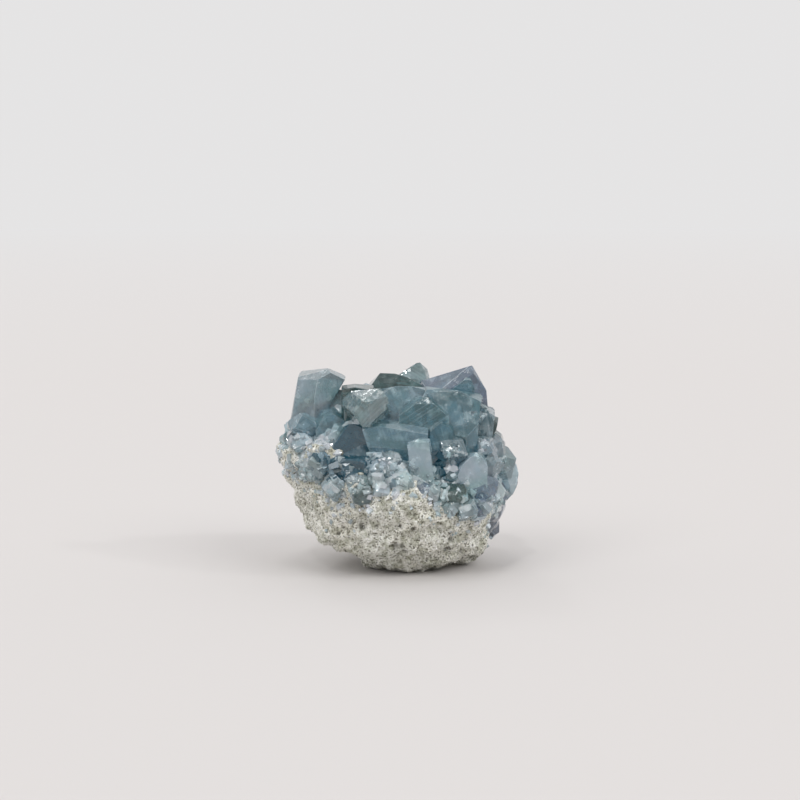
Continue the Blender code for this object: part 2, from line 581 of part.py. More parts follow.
def build():
    clear_scene()
    stone = material("limestone", (0.55, 0.53, 0.46), 0.9)
    blue = material("celestite_blue", (0.42, 0.58, 0.66), 0.12, 0.6)

    matrix = object_from(matrix_body(), "matrix", stone)

    cutter_bm = matrix_body()
    cutter_bm.normal_update()
    for vert in cutter_bm.verts:
        vert.co += vert.normal * MATRIX_GAP
    matrix_cutter = hide_helper(object_from(cutter_bm, "matrix_cutter"))

    celestite = object_from(crust_body(), "celestite", blue)
    crystal_shapes = hide_helper(object_from(all_crystals(), "crystal_shapes"))
    bpy.context.view_layer.update()
    apply_boolean(celestite, crystal_shapes, "UNION", use_self=True)
    apply_boolean(celestite, matrix_cutter, "DIFFERENCE")
    keep_largest_body(celestite)
    for helper in (matrix_cutter, crystal_shapes):
        bpy.data.objects.remove(helper, do_unlink=True)

    pieces = (matrix, celestite)
    lowest = [min(vert.co[i] for piece in pieces for vert in piece.data.vertices) for i in range(3)]
    highest = [max(vert.co[i] for piece in pieces for vert in piece.data.vertices) for i in range(3)]
    to_middle = Vector((-(lowest[0] + highest[0]) / 2, -(lowest[1] + highest[1]) / 2, 0))
    for piece in pieces:
        piece.data.transform(Matrix.Scale(MM, 4) @ Matrix.Translation(to_middle))


if __name__ == "__main__":
    build()
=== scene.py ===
"""The looks of a rough celestite: clear grey-blue crystals on a lump of sandy limestone.

The crystals are cut again from the values that the solid was made from, with bevelled
edges, broken corners and a fringe of tiny crystals that the solid leaves out. The limestone
is the solid's own shape with a broken surface and a coat of grains.

Sizes are in millimetres until MM turns them into metres.
"""

import json
import math
import random
from collections import namedtuple

import bmesh
import bpy
import numpy as np
from mathutils import Matrix, Vector, noise
from mathutils.bvhtree import BVHTree

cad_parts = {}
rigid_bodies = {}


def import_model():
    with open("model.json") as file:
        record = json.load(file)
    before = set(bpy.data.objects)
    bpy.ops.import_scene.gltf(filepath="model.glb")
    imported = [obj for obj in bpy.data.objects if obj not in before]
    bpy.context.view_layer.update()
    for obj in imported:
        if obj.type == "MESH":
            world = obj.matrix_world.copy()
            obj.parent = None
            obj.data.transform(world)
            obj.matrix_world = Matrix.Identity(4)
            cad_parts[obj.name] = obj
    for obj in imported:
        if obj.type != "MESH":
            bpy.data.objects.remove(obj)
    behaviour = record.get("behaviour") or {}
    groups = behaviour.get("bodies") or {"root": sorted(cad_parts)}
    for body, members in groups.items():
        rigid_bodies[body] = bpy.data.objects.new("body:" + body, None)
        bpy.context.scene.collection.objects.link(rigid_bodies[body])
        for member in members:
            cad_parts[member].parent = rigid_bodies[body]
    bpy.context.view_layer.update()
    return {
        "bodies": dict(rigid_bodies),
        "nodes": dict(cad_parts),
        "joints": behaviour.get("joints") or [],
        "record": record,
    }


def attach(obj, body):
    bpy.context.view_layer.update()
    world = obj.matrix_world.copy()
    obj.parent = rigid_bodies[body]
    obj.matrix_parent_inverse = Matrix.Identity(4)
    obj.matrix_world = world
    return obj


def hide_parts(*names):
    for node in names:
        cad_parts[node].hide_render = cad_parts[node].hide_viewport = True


MM = 0.001
SEED = 11
RECENTRE = Vector((-0.0843, -1.4199, 0))

# The massive celestite under the crystals, as rings from the bottom to the top: the
# height, and how far each ring reaches to the left, right, front and back.
Ring = namedtuple("Ring", "z left right front back")
RING_SIDES = 54
RING_SQUARENESS = 2.1
CRUST_RINGS = (
    Ring(12, 0, 0, 0, 0),
    Ring(14, 16, 17, 11, 13),
    Ring(17, 21, 23, 18.4, 20),
    Ring(20, 24, 25, 20.2, 22.6),
    Ring(24, 27.4, 25, 19.8, 22.2),
    Ring(28, 26, 23.5, 16.2, 20.5),
    Ring(32, 23, 22, 12.8, 18),
    Ring(36, 19, 19, 9.5, 14),
    Ring(39.5, 12, 14, 5, 8),
    Ring(40.5, 0, 0, 0, 0),
)
CRUST_ROWS = 16
TILT_HEIGHT = 20
CRUST_TILT = -0.2
CRUST_LUMPS = ((6, 1.2), (3, 0.9))

# A crystal is a prism that ends at its tip. sides is how far its faces lie to the right,
# back, left and front of the tip's axis, and trim cuts the corners between them. roof
# holds its end faces: the side that each one faces, its slope, and how far from the axis
# it comes down to the tip's height. look is a name in LOOKS or DRAWN_LOOKS.
Crystal = namedtuple("Crystal", "name look tip axis sides roof length roll taper trim")
SIDES = RIGHT, BACK, LEFT, FRONT = 0, 90, 180, 270


def crystal(name, look, tip, axis, sides, roof, length=22, roll=0, taper=3, trim=0.85):
    """A crystal. Where only its first two sides are given, the others are like them."""
    sides = sides * (4 // len(sides))
    return Crystal(name, look, tip, axis, sides, roof, length, roll, taper, trim)


def peak(right, left, front, back, *more):
    """Four end faces, each a slope or a slope and its distance, and any others."""
    faces = zip((RIGHT, LEFT, FRONT, BACK), (right, left, front, back))
    pairs = ((side, face if isinstance(face, tuple) else (face, 0)) for side, face in faces)
    return tuple((side, *pair) for side, pair in pairs) + more


def gable(slope, hip, ridge=0.8):
    """A short ridge: faces to the right and left meet in it, and a hip closes each end."""
    return peak(slope, slope * 0.9, (hip, ridge), (hip, ridge * 0.6))


MAIN_CRYSTALS = [crystal(*row) for row in (
    # Along the skyline.
    ("left_block", "grey", (-17.6, -5.2, 49.8), (0.17, -0.1, 1), (4.6, 8, 6.8, 2.6),
     ((RIGHT, 22, 0), (LEFT, 25, 0), (BACK, 30, 2), (RIGHT, 112, 5.35), (FRONT + 24, 86, 1.2),
      (FRONT - 24, 86, 2.8)), 26, 0, 1, 0.88),
    ("left_block_foot", "grey", (-15.3, -3.6, 45.2), (0.04, -0.2, 1), (2.3, 4, 3, 2.4),
     peak(38, 30, 62, 30), 18, 0, 2, 0.92),
    ("clear_nub", "clear", (-8.2, -16.6, 43.4), (-0.05, -0.9, 0.4), (5.1, 4.1, 5.9, 4.9),
     ((40, 26, 0), (112, 46, 0.4), (172, 52, 0.6), (252, 40, 0), (325, 38, 0), (221, 86, 3.6),
      (318, 86, 3.7)), 17, 0, 2, 0.79),
    ("behind_nub", "green", (-11, -5.5, 46.2), (-0.05, -0.1, 1), (4.6, 5, 3.2, 3),
     ((RIGHT, 12, 0), (LEFT, 8, 0), (BACK, 30, 1)), 20, 0, 3, 0.9),
    ("green_ridge", "green", (-2.2, 1, 47.9), (0.02, -0.05, 1), (8, 6, 5.6, 2.5),
     peak((25, 2.8), (52, 2.8), 60, (40, 1)), 22, 0, 5),
    ("little_peak", "clear", (4.8, 9, 50.2), (0.05, 0.1, 1), (2.6, 3, 5.5, 2.4),
     peak(39, 36, (62, 0.3), 50, (RIGHT, 72, 1.7)), 20, 0, 4),
    ("right_peak", "violet", (18.1, -1.2, 50.1), (0.02, -0.1, 1), (2.5, 7, 11, 1.4),
     ((RIGHT - 15, 60, 0), (214, 33, 0), (BACK, 40, 1)), 26, 22, 5, 1),
    ("peak_wedge", "teal", (17.1, -4.5, 48.2), (0.08, -0.15, 1), (1.4, 4, 4.6, 1),
     peak(62, 41, 78, 20), 16, 0, 3, 1),
    # In the middle of the front.
    ("middle_upper", "soft", (1.5, -4.2, 45.6), (0, -0.2, 1), (7.5, 5, 6.4, 7.5),
     peak((12, 1.5), (22, 2.5), 50, 30), 20, 0, 3),
    ("middle_arrow", "striped", (6.3, -10.6, 43.9), (0.02, -0.2, 1), (5.6, 5, 6.2, 3.4),
     peak(38, 34, 66, 20), 20, 0, 2, 0.97),
    ("middle_right", "teal", (12.6, -7.2, 45.2), (0.08, -0.22, 1), (7.5, 5, 6.5, 7),
     peak((15, 1.5), (10, 1), 50, 20), 22, -8, 3),
    ("middle_lower", "soft", (-1.5, -13.6, 37.4), (0.06, -0.35, 0.95), (8.5, 4, 9, 4.2),
     peak(5, (10, 3), (52, 0.8), 10, (LEFT, 116, 7.9)), 17, 0, -2, 0.95),
    ("middle_diamond", "teal", (10.3, -14.4, 38.4), (0.03, -0.25, 1), (2.6, 4, 2.8, 2.6),
     peak(40, 40, 68, 20), 16, 0, 2, 0.97),
    ("dark_wedge", "deep", (-11, -13.4, 37.6), (0.02, -0.22, 1), (9, 4, 6, 3.2),
     peak((30, 2.4), (56, 1.4), (76, 0.4), 30), 18, 0, 1, 1),
    ("under_left_block", "soft", (-17.5, -9.2, 40), (-0.1, -0.5, 0.85), (3.4, 4, 3.6, 3.6),
     peak(40, 44, 60, 25), 18, 8),
    ("left_front", "soft", (-24, -8.2, 39.4), (-0.2, -0.45, 0.85), (3.2, 4, 3.6, 3),
     gable(38, 50), 18, 10),
    # The front row.
    ("low_left", "blue", (-19.6, -17, 29.6), (-0.2, -0.8, 0.6), (2.7, 2.8, 2.3, 2.6),
     peak(34, 44, 48, 26), 12, 8, 3, 0.9),
    ("low_middle_left", "deep", (-11.8, -18.2, 29.9), (-0.05, -0.55, 0.85), (4.6, 3, 4.8, 2.6),
     peak((20, 1), (24, 1), (72, 0.3), 26), 13, -4, 3, 0.92),
    ("pale_prism", "pale", (4.4, -18.6, 34.8), (-0.12, -0.16, 1), (2.6, 2.8, 2.8, 1),
     ((RIGHT, 16, 0), (LEFT, 24, 0), (BACK, 25, 0.5)), 12, -8, 1, 0.93),
    ("low_behind_prism", "deep", (9.2, -16.8, 32.6), (0.15, -0.4, 0.9), (2, 2, 1.8, 1.4),
     gable(44, 60, 0.2), 9, 20),
    ("dark_hollow_left", "blue", (9.4, -17, 28.4), (0.2, -0.75, 0.6), (2.4, 3, 2.6, 2.8),
     gable(50, 40, 0.2), 12, 25),
    ("sparkling_slab", "spangled", (13, -15.6, 33.6), (0.16, -0.66, 0.72), (2.8, 3.4, 3, 3.6),
     gable(16, 24, 1.4), 14, 22, 2, 0.95),
    ("dark_hollow_right", "teal", (13.6, -17.4, 27.3), (0.1, -0.85, 0.4), (2.2, 2.4, 2.2, 2.6),
     gable(40, 42, 0.2), 12, -28),
    ("tall_pale_face", "pale", (17.9, -15.8, 31.7), (0.12, -0.26, 0.95), (3.2, 4, 3.2, 1.4),
     ((RIGHT, 42, 0), (LEFT, 52, 0), (BACK, 30, 0)), 13, 6, 6, 0.95),
    ("green_chips", "green", (12.8, -19.6, 22.6), (0.15, -0.85, 0.45), (3.4, 2.2, 3, 2.2),
     gable(24, 36, 0.8), 10, -8),
    # Down the right side.
    ("right_shoulder", "spangled", (19.4, -6.8, 41.6), (0.16, -0.25, 1), (4.1, 4.6, 5.4, 3.8),
     peak((20, 1), (10, 1), (50, 0.8), 26, (FRONT + 45, 42, 2)), 18, 0, 3, 0.84),
    ("right_step", "green", (22.8, -3.2, 38.1), (0.3, -0.15, 0.95), (1.7, 3.6, 3.2, 2.6),
     peak((15, 0.6), 20, (55, 0.6), (36, 1)), 16, 0, 3),
    ("diamond", "glint", (21.6, -11.4, 32.6), (0.4, -0.85, 0.4), (2.1, 2.3),
     gable(36, 36, 0), 12, 45),
    ("blue_block", "grey", (23.4, -11.6, 27.6), (0.42, -0.85, 0.3), (2.6, 3),
     gable(26, 34, 0.6), 13, 12, 2, 0.95),
    ("right_corner", "grey", (25.6, -5, 32.6), (0.7, -0.4, 0.6), (3, 3.4),
     gable(36, 40, 0.4), 16, 25),
    ("right_low_face", "violet", (20.8, -15.8, 22.6), (0.3, -0.9, 0.2), (3.6, 3, 3.4, 3),
     gable(28, 34, 0.6), 13, -20),
    ("right_edge_upper", "grey", (28.8, -3.5, 27.4), (0.9, -0.3, 0.3), (3.6, 3.8),
     gable(33, 37, 0.5), 16, 15),
    ("right_edge_middle", "pale", (30.4, -1, 22.8), (0.95, -0.15, 0.05), (3.6, 4, 3.8, 4),
     gable(38, 36, 0.4), 16, 35),
    ("right_edge_lower", "violet", (27.6, -3, 18.6), (0.85, -0.35, -0.1), (3.6, 3.8, 3.8, 3.8),
     gable(30, 38, 0.4), 15, 5),
    ("right_skirt", "violet", (26.8, 2, 13.4), (0.9, 0, -0.25), (3.2, 3.6),
     gable(34, 36, 0.3), 13, 25),
    ("right_hem", "slate", (24.8, 1.6, 9.4), (0.8, -0.15, -0.35), (2.6, 3.4),
     gable(30, 34, 0.5), 11, 8),
    ("right_hem_tip", "slate", (25.2, 4.2, 7.4), (0.85, 0.1, -0.4), (1.8, 2),
     gable(36, 36, 0.2), 9, 35),
    ("right_skirt_back", "violet", (25.8, 8.4, 15.6), (0.9, 0.3, -0.1), (3.2, 3.4),
     gable(36, 32, 0.4), 12, -20),
    ("right_hem_back", "violet", (24.6, 7.6, 10.6), (0.85, 0.3, -0.3), (2.4, 2.8),
     gable(34, 36, 0.3), 10, 15),
    ("right_skirt_front", "slate", (25.2, -4.4, 13.6), (0.85, -0.35, -0.2), (2.2, 2.4),
     gable(34, 34, 0.2), 10, -12),
    # Along the lower edge of the front.
    ("eye", "eye", (-9.1, -21.4, 21.9), (-0.08, -0.96, 0.25), (2.3, 2.3),
     gable(7, 9, 0.2), 9, 22, 3, 0.76),
    ("eye_hood", "glint", (-9.9, -20.3, 25.3), (-0.05, -0.85, 0.5), (2.9, 1.7, 2.8, 1.7),
     gable(20, 34, 0.3), 9, -12, 3, 0.86),
    ("pale_left", "pale", (-16.1, -19.6, 24.2), (-0.2, -0.85, 0.5), (2.2, 2.2, 2.3, 1.9),
     gable(14, 20, 0.4), 10, 24, 3, 0.9),
    ("pale_middle", "pale", (-4.6, -20.6, 21.8), (-0.05, -0.9, 0.4), (2.5, 1.7, 2.2, 1.5),
     gable(14, 20, 0.4), 9, -9, 3, 0.92),
    ("violet_chip", "violet", (5.7, -20.2, 23.4), (0.05, -0.85, 0.5), (1.7, 1.6, 2.1, 1.3),
     gable(22, 28, 0.2), 9, -22, 3, 1),
    ("grey_chip_left", "grey", (12.8, -20.3, 18.8), (0.15, -0.9, 0.35), (1.7, 1.9, 1.9, 1.5),
     gable(34, 38, 0.2), 9, 35, 3, 1),
    ("grey_chip_middle", "grey", (16.6, -19.6, 18.4), (0.2, -0.85, 0.4), (2.3, 2, 2.1, 1.8),
     gable(30, 38, 0.2), 9, 14, 3, 1),
    ("grey_chip_right", "violet", (20.2, -17.2, 18.6), (0.4, -0.8, 0.35), (2.2, 2, 2, 2),
     gable(32, 36, 0.2), 9, -25, 3, 1),
    # Down the left side.
    ("left_shoulder", "pale", (-27.4, -5, 35.2), (-0.6, -0.4, 0.65), (3, 3, 2.8, 3),
     gable(38, 40, 0.4), 14, 20),
    ("left_knob", "pale", (-30, -2, 32.6), (-0.85, -0.1, 0.4), (2, 2.2),
     gable(36, 36, 0.3), 11, 40),
    ("left_violet", "pale", (-25.2, -10.4, 34.2), (-0.4, -0.75, 0.5), (2.6, 2.4),
     gable(30, 36, 0.3), 12, 10),
    # At the back.
    ("back_left_top", "back", (-19.5, 9.5, 42.5), (-0.3, 0.45, 0.9), (5.5, 5),
     gable(36, 40), 22, 10),
    ("back_middle_top", "back", (-8.5, 11.5, 42.8), (-0.1, 0.5, 0.9), (5, 5),
     gable(32, 42), 22, -20),
    ("back_crown", "back", (11.5, 12, 43.2), (0.2, 0.5, 0.85), (5.5, 5, 5, 5.5),
     gable(38, 36), 22, 25),
    ("back_right_top", "back", (20.5, 8.5, 41.4), (0.5, 0.35, 0.8), (4.6, 5, 4.8, 5),
     gable(35, 40), 20, -10),
    ("back_middle", "back", (1.5, 17.5, 39.5), (0.05, 0.8, 0.6), (6, 5.5), gable(30, 34), 20, 15),
    ("back_left_face", "back", (-14.5, 18, 35.5), (-0.3, 0.85, 0.5), (5, 4.8),
     gable(34, 36), 19, 30),
    ("back_right_face", "back", (15, 17.5, 35.8), (0.35, 0.8, 0.5), (5, 4.8),
     gable(33, 38), 19, -25),
    ("back_left_edge", "back", (-25.5, 10, 34.5), (-0.75, 0.4, 0.5), (4.2, 4),
     gable(34, 38), 17, 10),
    ("back_right_edge", "back", (25.8, 10, 31.5), (0.8, 0.4, 0.4), (4.4, 4.2),
     gable(33, 36), 17, 30),
    ("back_low_middle", "back", (-3.5, 22.2, 29.5), (-0.05, 0.95, 0.25), (4.4, 4),
     gable(30, 34, 0.4), 14, 40),
    ("back_low_right", "back", (10.5, 21.8, 27.6), (0.2, 0.93, 0.2), (4, 3.8),
     gable(32, 34, 0.4), 14, 5),
    ("back_low_left", "back", (-19.5, 18.2, 28), (-0.45, 0.8, 0.25), (3.8, 3.6),
     gable(33, 36, 0.4), 13, -15),
    ("back_low_edge", "back", (21.5, 17.2, 24), (0.65, 0.7, 0.1), (3.8, 3.6),
     gable(32, 36, 0.4), 13, 20),
)]

# How a kind of crystal looks: its colour, how clear it is, how much it blurs what shows
# through it, how much its surface glitters, and how strongly it is streaked.
Look = namedtuple("Look", "colour clarity haze glitter streak")
LOOKS = {
    "deep": Look((0.002, 0.06, 0.095), 0.25, 0.1, 0.1, 0),
    "teal": Look((0.105, 0.262, 0.315), 0.66, 0.14, 0.1, 0.2),
    "soft": Look((0.24, 0.41, 0.475), 0.66, 0.16, 0.1, 0.15),
    "spangled": Look((0.105, 0.19, 0.23), 0.5, 0.06, 0.95, 0.4),
    "striped": Look((0.125, 0.28, 0.315), 0.66, 0.08, 0.35, 0.35),
    "green": Look((0.05, 0.145, 0.135), 0.78, 0.06, 0.1, 0.2),
    "eye": Look((0.035, 0.11, 0.115), 0.7, 0.03, 0.3, 0.1),
    "grey": Look((0.35, 0.45, 0.485), 0.62, 0.18, 0.1, 0.1),
    "blue": Look((0.13, 0.3, 0.4), 0.66, 0.14, 0.1, 0.1),
    "slate": Look((0.085, 0.12, 0.18), 0.6, 0.12, 0.1, 0.1),
    "violet": Look((0.2, 0.28, 0.39), 0.66, 0.14, 0.15, 0.1),
    "pale": Look((0.52, 0.68, 0.75), 0.55, 0.18, 0.2, 0.1),
    "clear": Look((0.3, 0.415, 0.425), 0.6, 0.03, 0.75, 0.25),
    "glint": Look((0.43, 0.56, 0.61), 0.72, 0.03, 0.95, 0.1),
    "sugar": Look((0.7, 0.78, 0.82), 0.5, 0.1, 0.8, 0),
}
# Kinds of crystals draw their looks from these. Small ones and the fringe draw from the
# dark ones in a gap between crystals, as painted shade.
DRAWN_LOOKS = {
    "back": ("teal", "grey", "blue", "grey", "violet", "teal", "green"),
    "small": ("pale", "sugar", "grey", "pale", "glint", "blue", "grey"),
    "fringe": ("sugar", "pale", "grey", "glint", "pale", "grey", "glint"),
    "stray": ("sugar", "pale", "grey", "sugar"),
    "dark": ("deep", "deep", "blue", "clear"),
}

# Gaps between the crystals that are painted dark as shade: a point, and how far round it
# the dark looks reach. The crust there is painted dark as shade, and free of sand for the
# margin below more.
PAINTED_SHADE_PLACES = (
    ((-12.5, -17.5, 32), 5), ((-15.5, -18, 29.5), 4.5), ((9.2, -17.5, 29.5), 2.6),
    ((-8.5, -19, 29), 3.2),
)
PAINTED_SHADE_MARGIN = 1

# Small crystals between the main ones, as in the solid.
SMALL_WIDTHS = (5, 4.2, 3.6, 3, 2.6, 2.2)
SMALL_TRIES = 500
SMALL_LIMIT = 138
SMALL_SPACING = 0.62
SMALL_CLEARANCE = 0.9
MAIN_ROOM = 0.45
SMALL_LENGTH = 7
SMALL_BAND = (0.38, 0.95)
SMALL_CENTRE = Vector((0, 0, 22))
SMALL_LEAN = 0.3
SMALL_SIDES = (0.75, 1.2)
SMALL_SLOPES = (16, 44)
BARE_PLACES = (
    ((-12, -17, 33), 5), ((-18, -14.5, 32), 4), ((17.5, -19, 27), 4),
    ((3.5, -20.5, 20.5), 3.8), ((9.5, -20.5, 19), 2.6), ((-9, -21, 18.5), 2.6),
    ((-32.5, -4, 30), 3.5), ((32, -1, 21), 3),
)

# Tiny crystals, in a fringe on the crust and as strays in the limestone: how many, how
# many points are tried for each, how wide they are, how far they lean, how far their tips
# stand out in widths, how steep their end faces are, and their length in widths.
Habit = namedtuple("Habit", "kind count tries widths lean rise slopes length")
FRINGE = Habit("fringe", 1100, 14, (0.6, 1.9), 0.4, (0.05, 0.4), (15, 45), 2)
STRAY = Habit("stray", 420, 20, (0.7, 2.2), 0.5, (0.1, 0.45), (12, 50), 1)
TINY_SIDES = (0.6, 1.2)
STRAY_REACH = 1.7
STRAY_GAP = 0.2

# The fringe is thickest next to the limestone and at a few other spots: a point, how far
# round it the spot reaches, and how thick it is there. It leaves some places bare.
FRINGE_REACH = 2.4
FRINGE_SPOTS = (
    ((-3, -19, 27), 4.5, 1.0), ((12.5, -18, 31), 3.5, 0.8), ((-9.5, -20.5, 25.5), 3, 1.0),
    ((11, -18.5, 26), 3.5, 0.7), ((20, -8, 40.5), 3, 0.5), ((22, -12, 31), 4.5, 0.5),
    ((25, -9, 25), 5, 0.5),
)
FRINGE_BARE = (
    ((-11, -16.6, 34), 5.6), ((-32, -3, 31), 3.5), ((32, -1, 20), 3), ((26.5, 0, 11), 6),
    ((-9.1, -21.8, 21.7), 2.1),
)

# Bevelled edges and broken corners, and how deep the crystals sit in the limestone.
EDGE_BEVEL = 0.13
MAIN_CHIPS = 5
SMALL_CHIPS = 2
CHIP_DEPTH = (0.15, 0.7)
SEAT_DEPTH = 0.35

# The direction in which growth lines follow each other, in a crystal's own axes.
STRIPE = (0.9, 0.1, 0.3)
STRIPES = {
    "little_peak": (0.5, 0.1, 0.86),
    "middle_arrow": (-0.54, 0.1, 0.84),
    "clear_nub": (-0.7, 0.7, 0.1),
}

# Frost whitens the crystals near the limestone, the main ones and the crust less than
# the others. Bevelled edges draw a painted highlight, mixed into the same layer, from the
# last of these.
FROST_REACH = 3
MAIN_FROST = 0.25
CRUST_FROST = 0.6
PAINTED_RIM_HIGHLIGHT = (0, 0.15, 0.3, 0.5, 0.9)

# The limestone's broken surface: lumps, as the size of each and how far it stands out,
# cells that are highest in the middle, and pits, as a place on the surface, the radius
# and the depth. Holes are pits at random places, with a depth in shares of the radius.
# What lies below FOOT_HEIGHT stays flat.
STONE_VOXEL = 0.36
STONE_LUMPS = ((6, 0.9), (3, 0.9), (1.5, 0.55))
STONE_CELL = 0.75
STONE_CELL_HEIGHT = 0.28
STONE_CELL_LEVEL = 0.45
Pit = namedtuple("Pit", "place radius depth")
STONE_PITS = (
    Pit((-9.6, -20, 14.6), 2, 1.4), Pit((-24.6, -13, 22.8), 1.8, 1.4),
    Pit((-23.5, -14, 19.4), 1.3, 1), Pit((-22, -14.5, 14), 2.6, 1.3),
    Pit((10, -20, 13.2), 1.9, 1.3), Pit((19.6, -14.4, 8), 1.7, 1.5),
    Pit((14, -17.6, 10), 1.2, 0.9), Pit((-1, -17.8, 8.6), 1.8, 0.9),
)
HOLE_COUNT = 150
HOLE_RADII = (0.4, 1.3)
HOLE_DEPTHS = (0.5, 0.9)
FOOT_HEIGHT = 0.15

# Grains on the limestone and sand on the crystals next to it.
GRAIN_COUNT = 15000
GRAIN_SIZES = (0.2, 0.54)
DUST_COUNT = 350
DUST_SIZES = (0.2, 0.55)
DUST_REACH = 0.7
GRAIN_STRETCH = (0.65, 1.2)
GRAIN_SHIFT = 0.22

# What the crystals' material is like inside, and the colours of the finer markings.
CELESTITE_IOR = 1.62
INNER_COLOUR = (0.23, 0.65, 0.77, 1)
INNER_DENSITY = 100
VEIL_COLOUR = (0.9, 1.0, 1.0, 1)
# Frost, and the painted highlight on bevelled edges, whiten towards this colour.
FROST_AND_HIGHLIGHT_COLOUR = (0.68, 0.74, 0.76, 1)
STREAK_COLOUR = (0.78, 0.83, 0.84, 1)
# The painted shade in the limestone's pits.
PIT_SHADE_COLOUR = (0.07, 0.07, 0.05, 1)
GRAIN_WHITE = (0.99, 0.99, 0.98)

# The backdrop behind the object, its strength behind the viewer, and what it gains
# overhead. The floor fades into it between two distances from the middle, in metres.
WORLD_COLOUR = (0.80, 0.793, 0.795, 1)
BACKDROP_STRENGTH = 0.98
VIEWER_SIDE_STRENGTH = 0.38
OVERHEAD_STRENGTH = 0.3
FLOOR_COLOUR = (0.60, 0.579, 0.57, 1)
FLOOR_RADIUS = 6
FLOOR_FADE = (0.4, 2.0)

# The lights: the angle from the viewer's side towards the right, the height above the
# floor, how wide the light is, all in degrees, and its strength.
SUNS = {
    "left_light": (-45, 40, 34, 0.72),
    "right_light": (50, 40, 34, 0.76),
    "top_light": (-25, 79, 12, 0.25),
    "back_light": (-157, 43, 10, 0.15),
    "left_sparkle": (-20, 55, 4, 0.32),
    "right_sparkle": (70, 35, 4, 0.26),
}

# The camera stands CAMERA_HEIGHT_ANGLE degrees above a point CAMERA_CENTRE over the
# floor, and looks down by CAMERA_PITCH degrees.
CAMERA_DISTANCE = 450
CAMERA_HEIGHT_ANGLE = 10
CAMERA_PITCH = 7.87
CAMERA_CENTRE = 24.55
CAMERA_LENS = 81


def mesh_object(name, mesh, *finishes):
    made = bpy.data.objects.new(name, mesh)
    bpy.context.scene.collection.objects.link(made)
    mesh.materials.clear()
    for finish in finishes:
        mesh.materials.append(finish)
    return made


def from_bmesh(bm, name):
    mesh = bpy.data.meshes.new(name)
    bm.to_mesh(mesh)
    bm.free()
    return mesh


def to_world(mesh):
    """Moves a mesh from the tables' millimetres into the solid's place, in metres."""
    mesh.transform(Matrix.Scale(MM, 4) @ Matrix.Translation(RECENTRE))
    return mesh


def is_near(point, spots):
    """Whether a point is in one of the spots, each a place and how far it reaches."""
    return any((Vector(point) - Vector(place)).length < reach for place, reach in spots)


def leaning(direction, lean, dice):
    """A direction turned aside at random."""
    return (direction + Vector([dice.gauss(0, lean) for _ in range(3)])).normalized()


def read_values(items, field, width, kind=float):
    """A field of every item in one array, with a row for each item if width is over 1."""
    values = np.zeros(len(items) * width, kind)
    items.foreach_get(field, values)
    return values.reshape(-1, width) if width > 1 else values


def write_layer(mesh, name, kind, domain, values):
    layer = mesh.attributes.new(name, kind, domain)
    layer.data.foreach_set("color" if kind == "FLOAT_COLOR" else "value", values)


def blended_ring(rings, share):
    """The ring at a share of the way from the first to the last, on a smooth curve."""
    place = share * (len(rings) - 1)
    first = min(int(place), len(rings) - 2)
    t = place - first
    before, start = rings[max(first - 1, 0)], rings[first]
    end, after = rings[first + 1], rings[min(first + 2, len(rings) - 1)]

    def smooth(p0, p1, p2, p3):
        bend = 2 * p0 - 5 * p1 + 4 * p2 - p3
        return 0.5 * (2 * p1 + (p2 - p0) * t + bend * t**2 + (3 * (p1 - p2) + p3 - p0) * t**3)

    return Ring(*(max(smooth(*values), 0) for values in zip(before, start, end, after)))


def ring_point(ring, angle, tilt):
    """A point of a ring. tilt raises the ring to one side, more so higher up."""
    along, across = math.cos(angle), math.sin(angle)
    reach_x = ring.right if along > 0 else ring.left
    reach_y = ring.back if across > 0 else ring.front
    x = reach_x * math.copysign(abs(along) ** (2 / RING_SQUARENESS), along)
    y = reach_y * math.copysign(abs(across) ** (2 / RING_SQUARENESS), across)
    raised = tilt * x * min(ring.z / TILT_HEIGHT, 1) ** 2
    return Vector((x, y, ring.z + raised))


def relief(point, lumps, seed):
    """How far smooth noise lifts a surface, one layer for each size of lump."""
    lift = 0
    for layer, (size, height) in enumerate(lumps):
        offset = Vector((seed * 7.3, layer * 17.1, seed * 3.9))
        lift += height * noise.noise(point / size + offset)
    return lift


def crust_body():
    """The massive celestite, closed with a point at the bottom and the top."""
    bm = bmesh.new()
    loops = []
    for row in range(1, CRUST_ROWS):
        ring = blended_ring(CRUST_RINGS, row / CRUST_ROWS)
        angles = [2 * math.pi * (side + 0.5) / RING_SIDES for side in range(RING_SIDES)]
        loops.append([bm.verts.new(ring_point(ring, angle, CRUST_TILT)) for angle in angles])
    for lower, upper in zip(loops, loops[1:]):
        for side in range(RING_SIDES):
            after = (side + 1) % RING_SIDES
            bm.faces.new((lower[side], lower[after], upper[after], upper[side]))
    for loop, ring in ((loops[0], CRUST_RINGS[0]), (loops[-1], CRUST_RINGS[-1])):
        pole = bm.verts.new((0, 0, ring.z))
        for side in range(RING_SIDES):
            bm.faces.new((loop[side], loop[(side + 1) % RING_SIDES], pole))
    bmesh.ops.recalc_face_normals(bm, faces=bm.faces)
    bm.normal_update()
    moves = [vert.normal * relief(vert.co, CRUST_LUMPS, SEED + 1) for vert in bm.verts]
    for vert, move in zip(bm.verts, moves):
        vert.co += move
    return bm


def growth_frame(axis, roll):
    """Axes of a crystal: its growth direction, and its width level with the ground."""
    up = Vector(axis).normalized()
    across = Vector((0, 1, 0)).cross(up)
    if across.length < 0.5:
        across = Vector((0, 0, 1)).cross(up) * (-1 if up.y > 0 else 1)
    across.normalize()
    frame = Matrix((across, up.cross(across), up)).transposed()
    return frame @ Matrix.Rotation(math.radians(roll), 3, "Z")


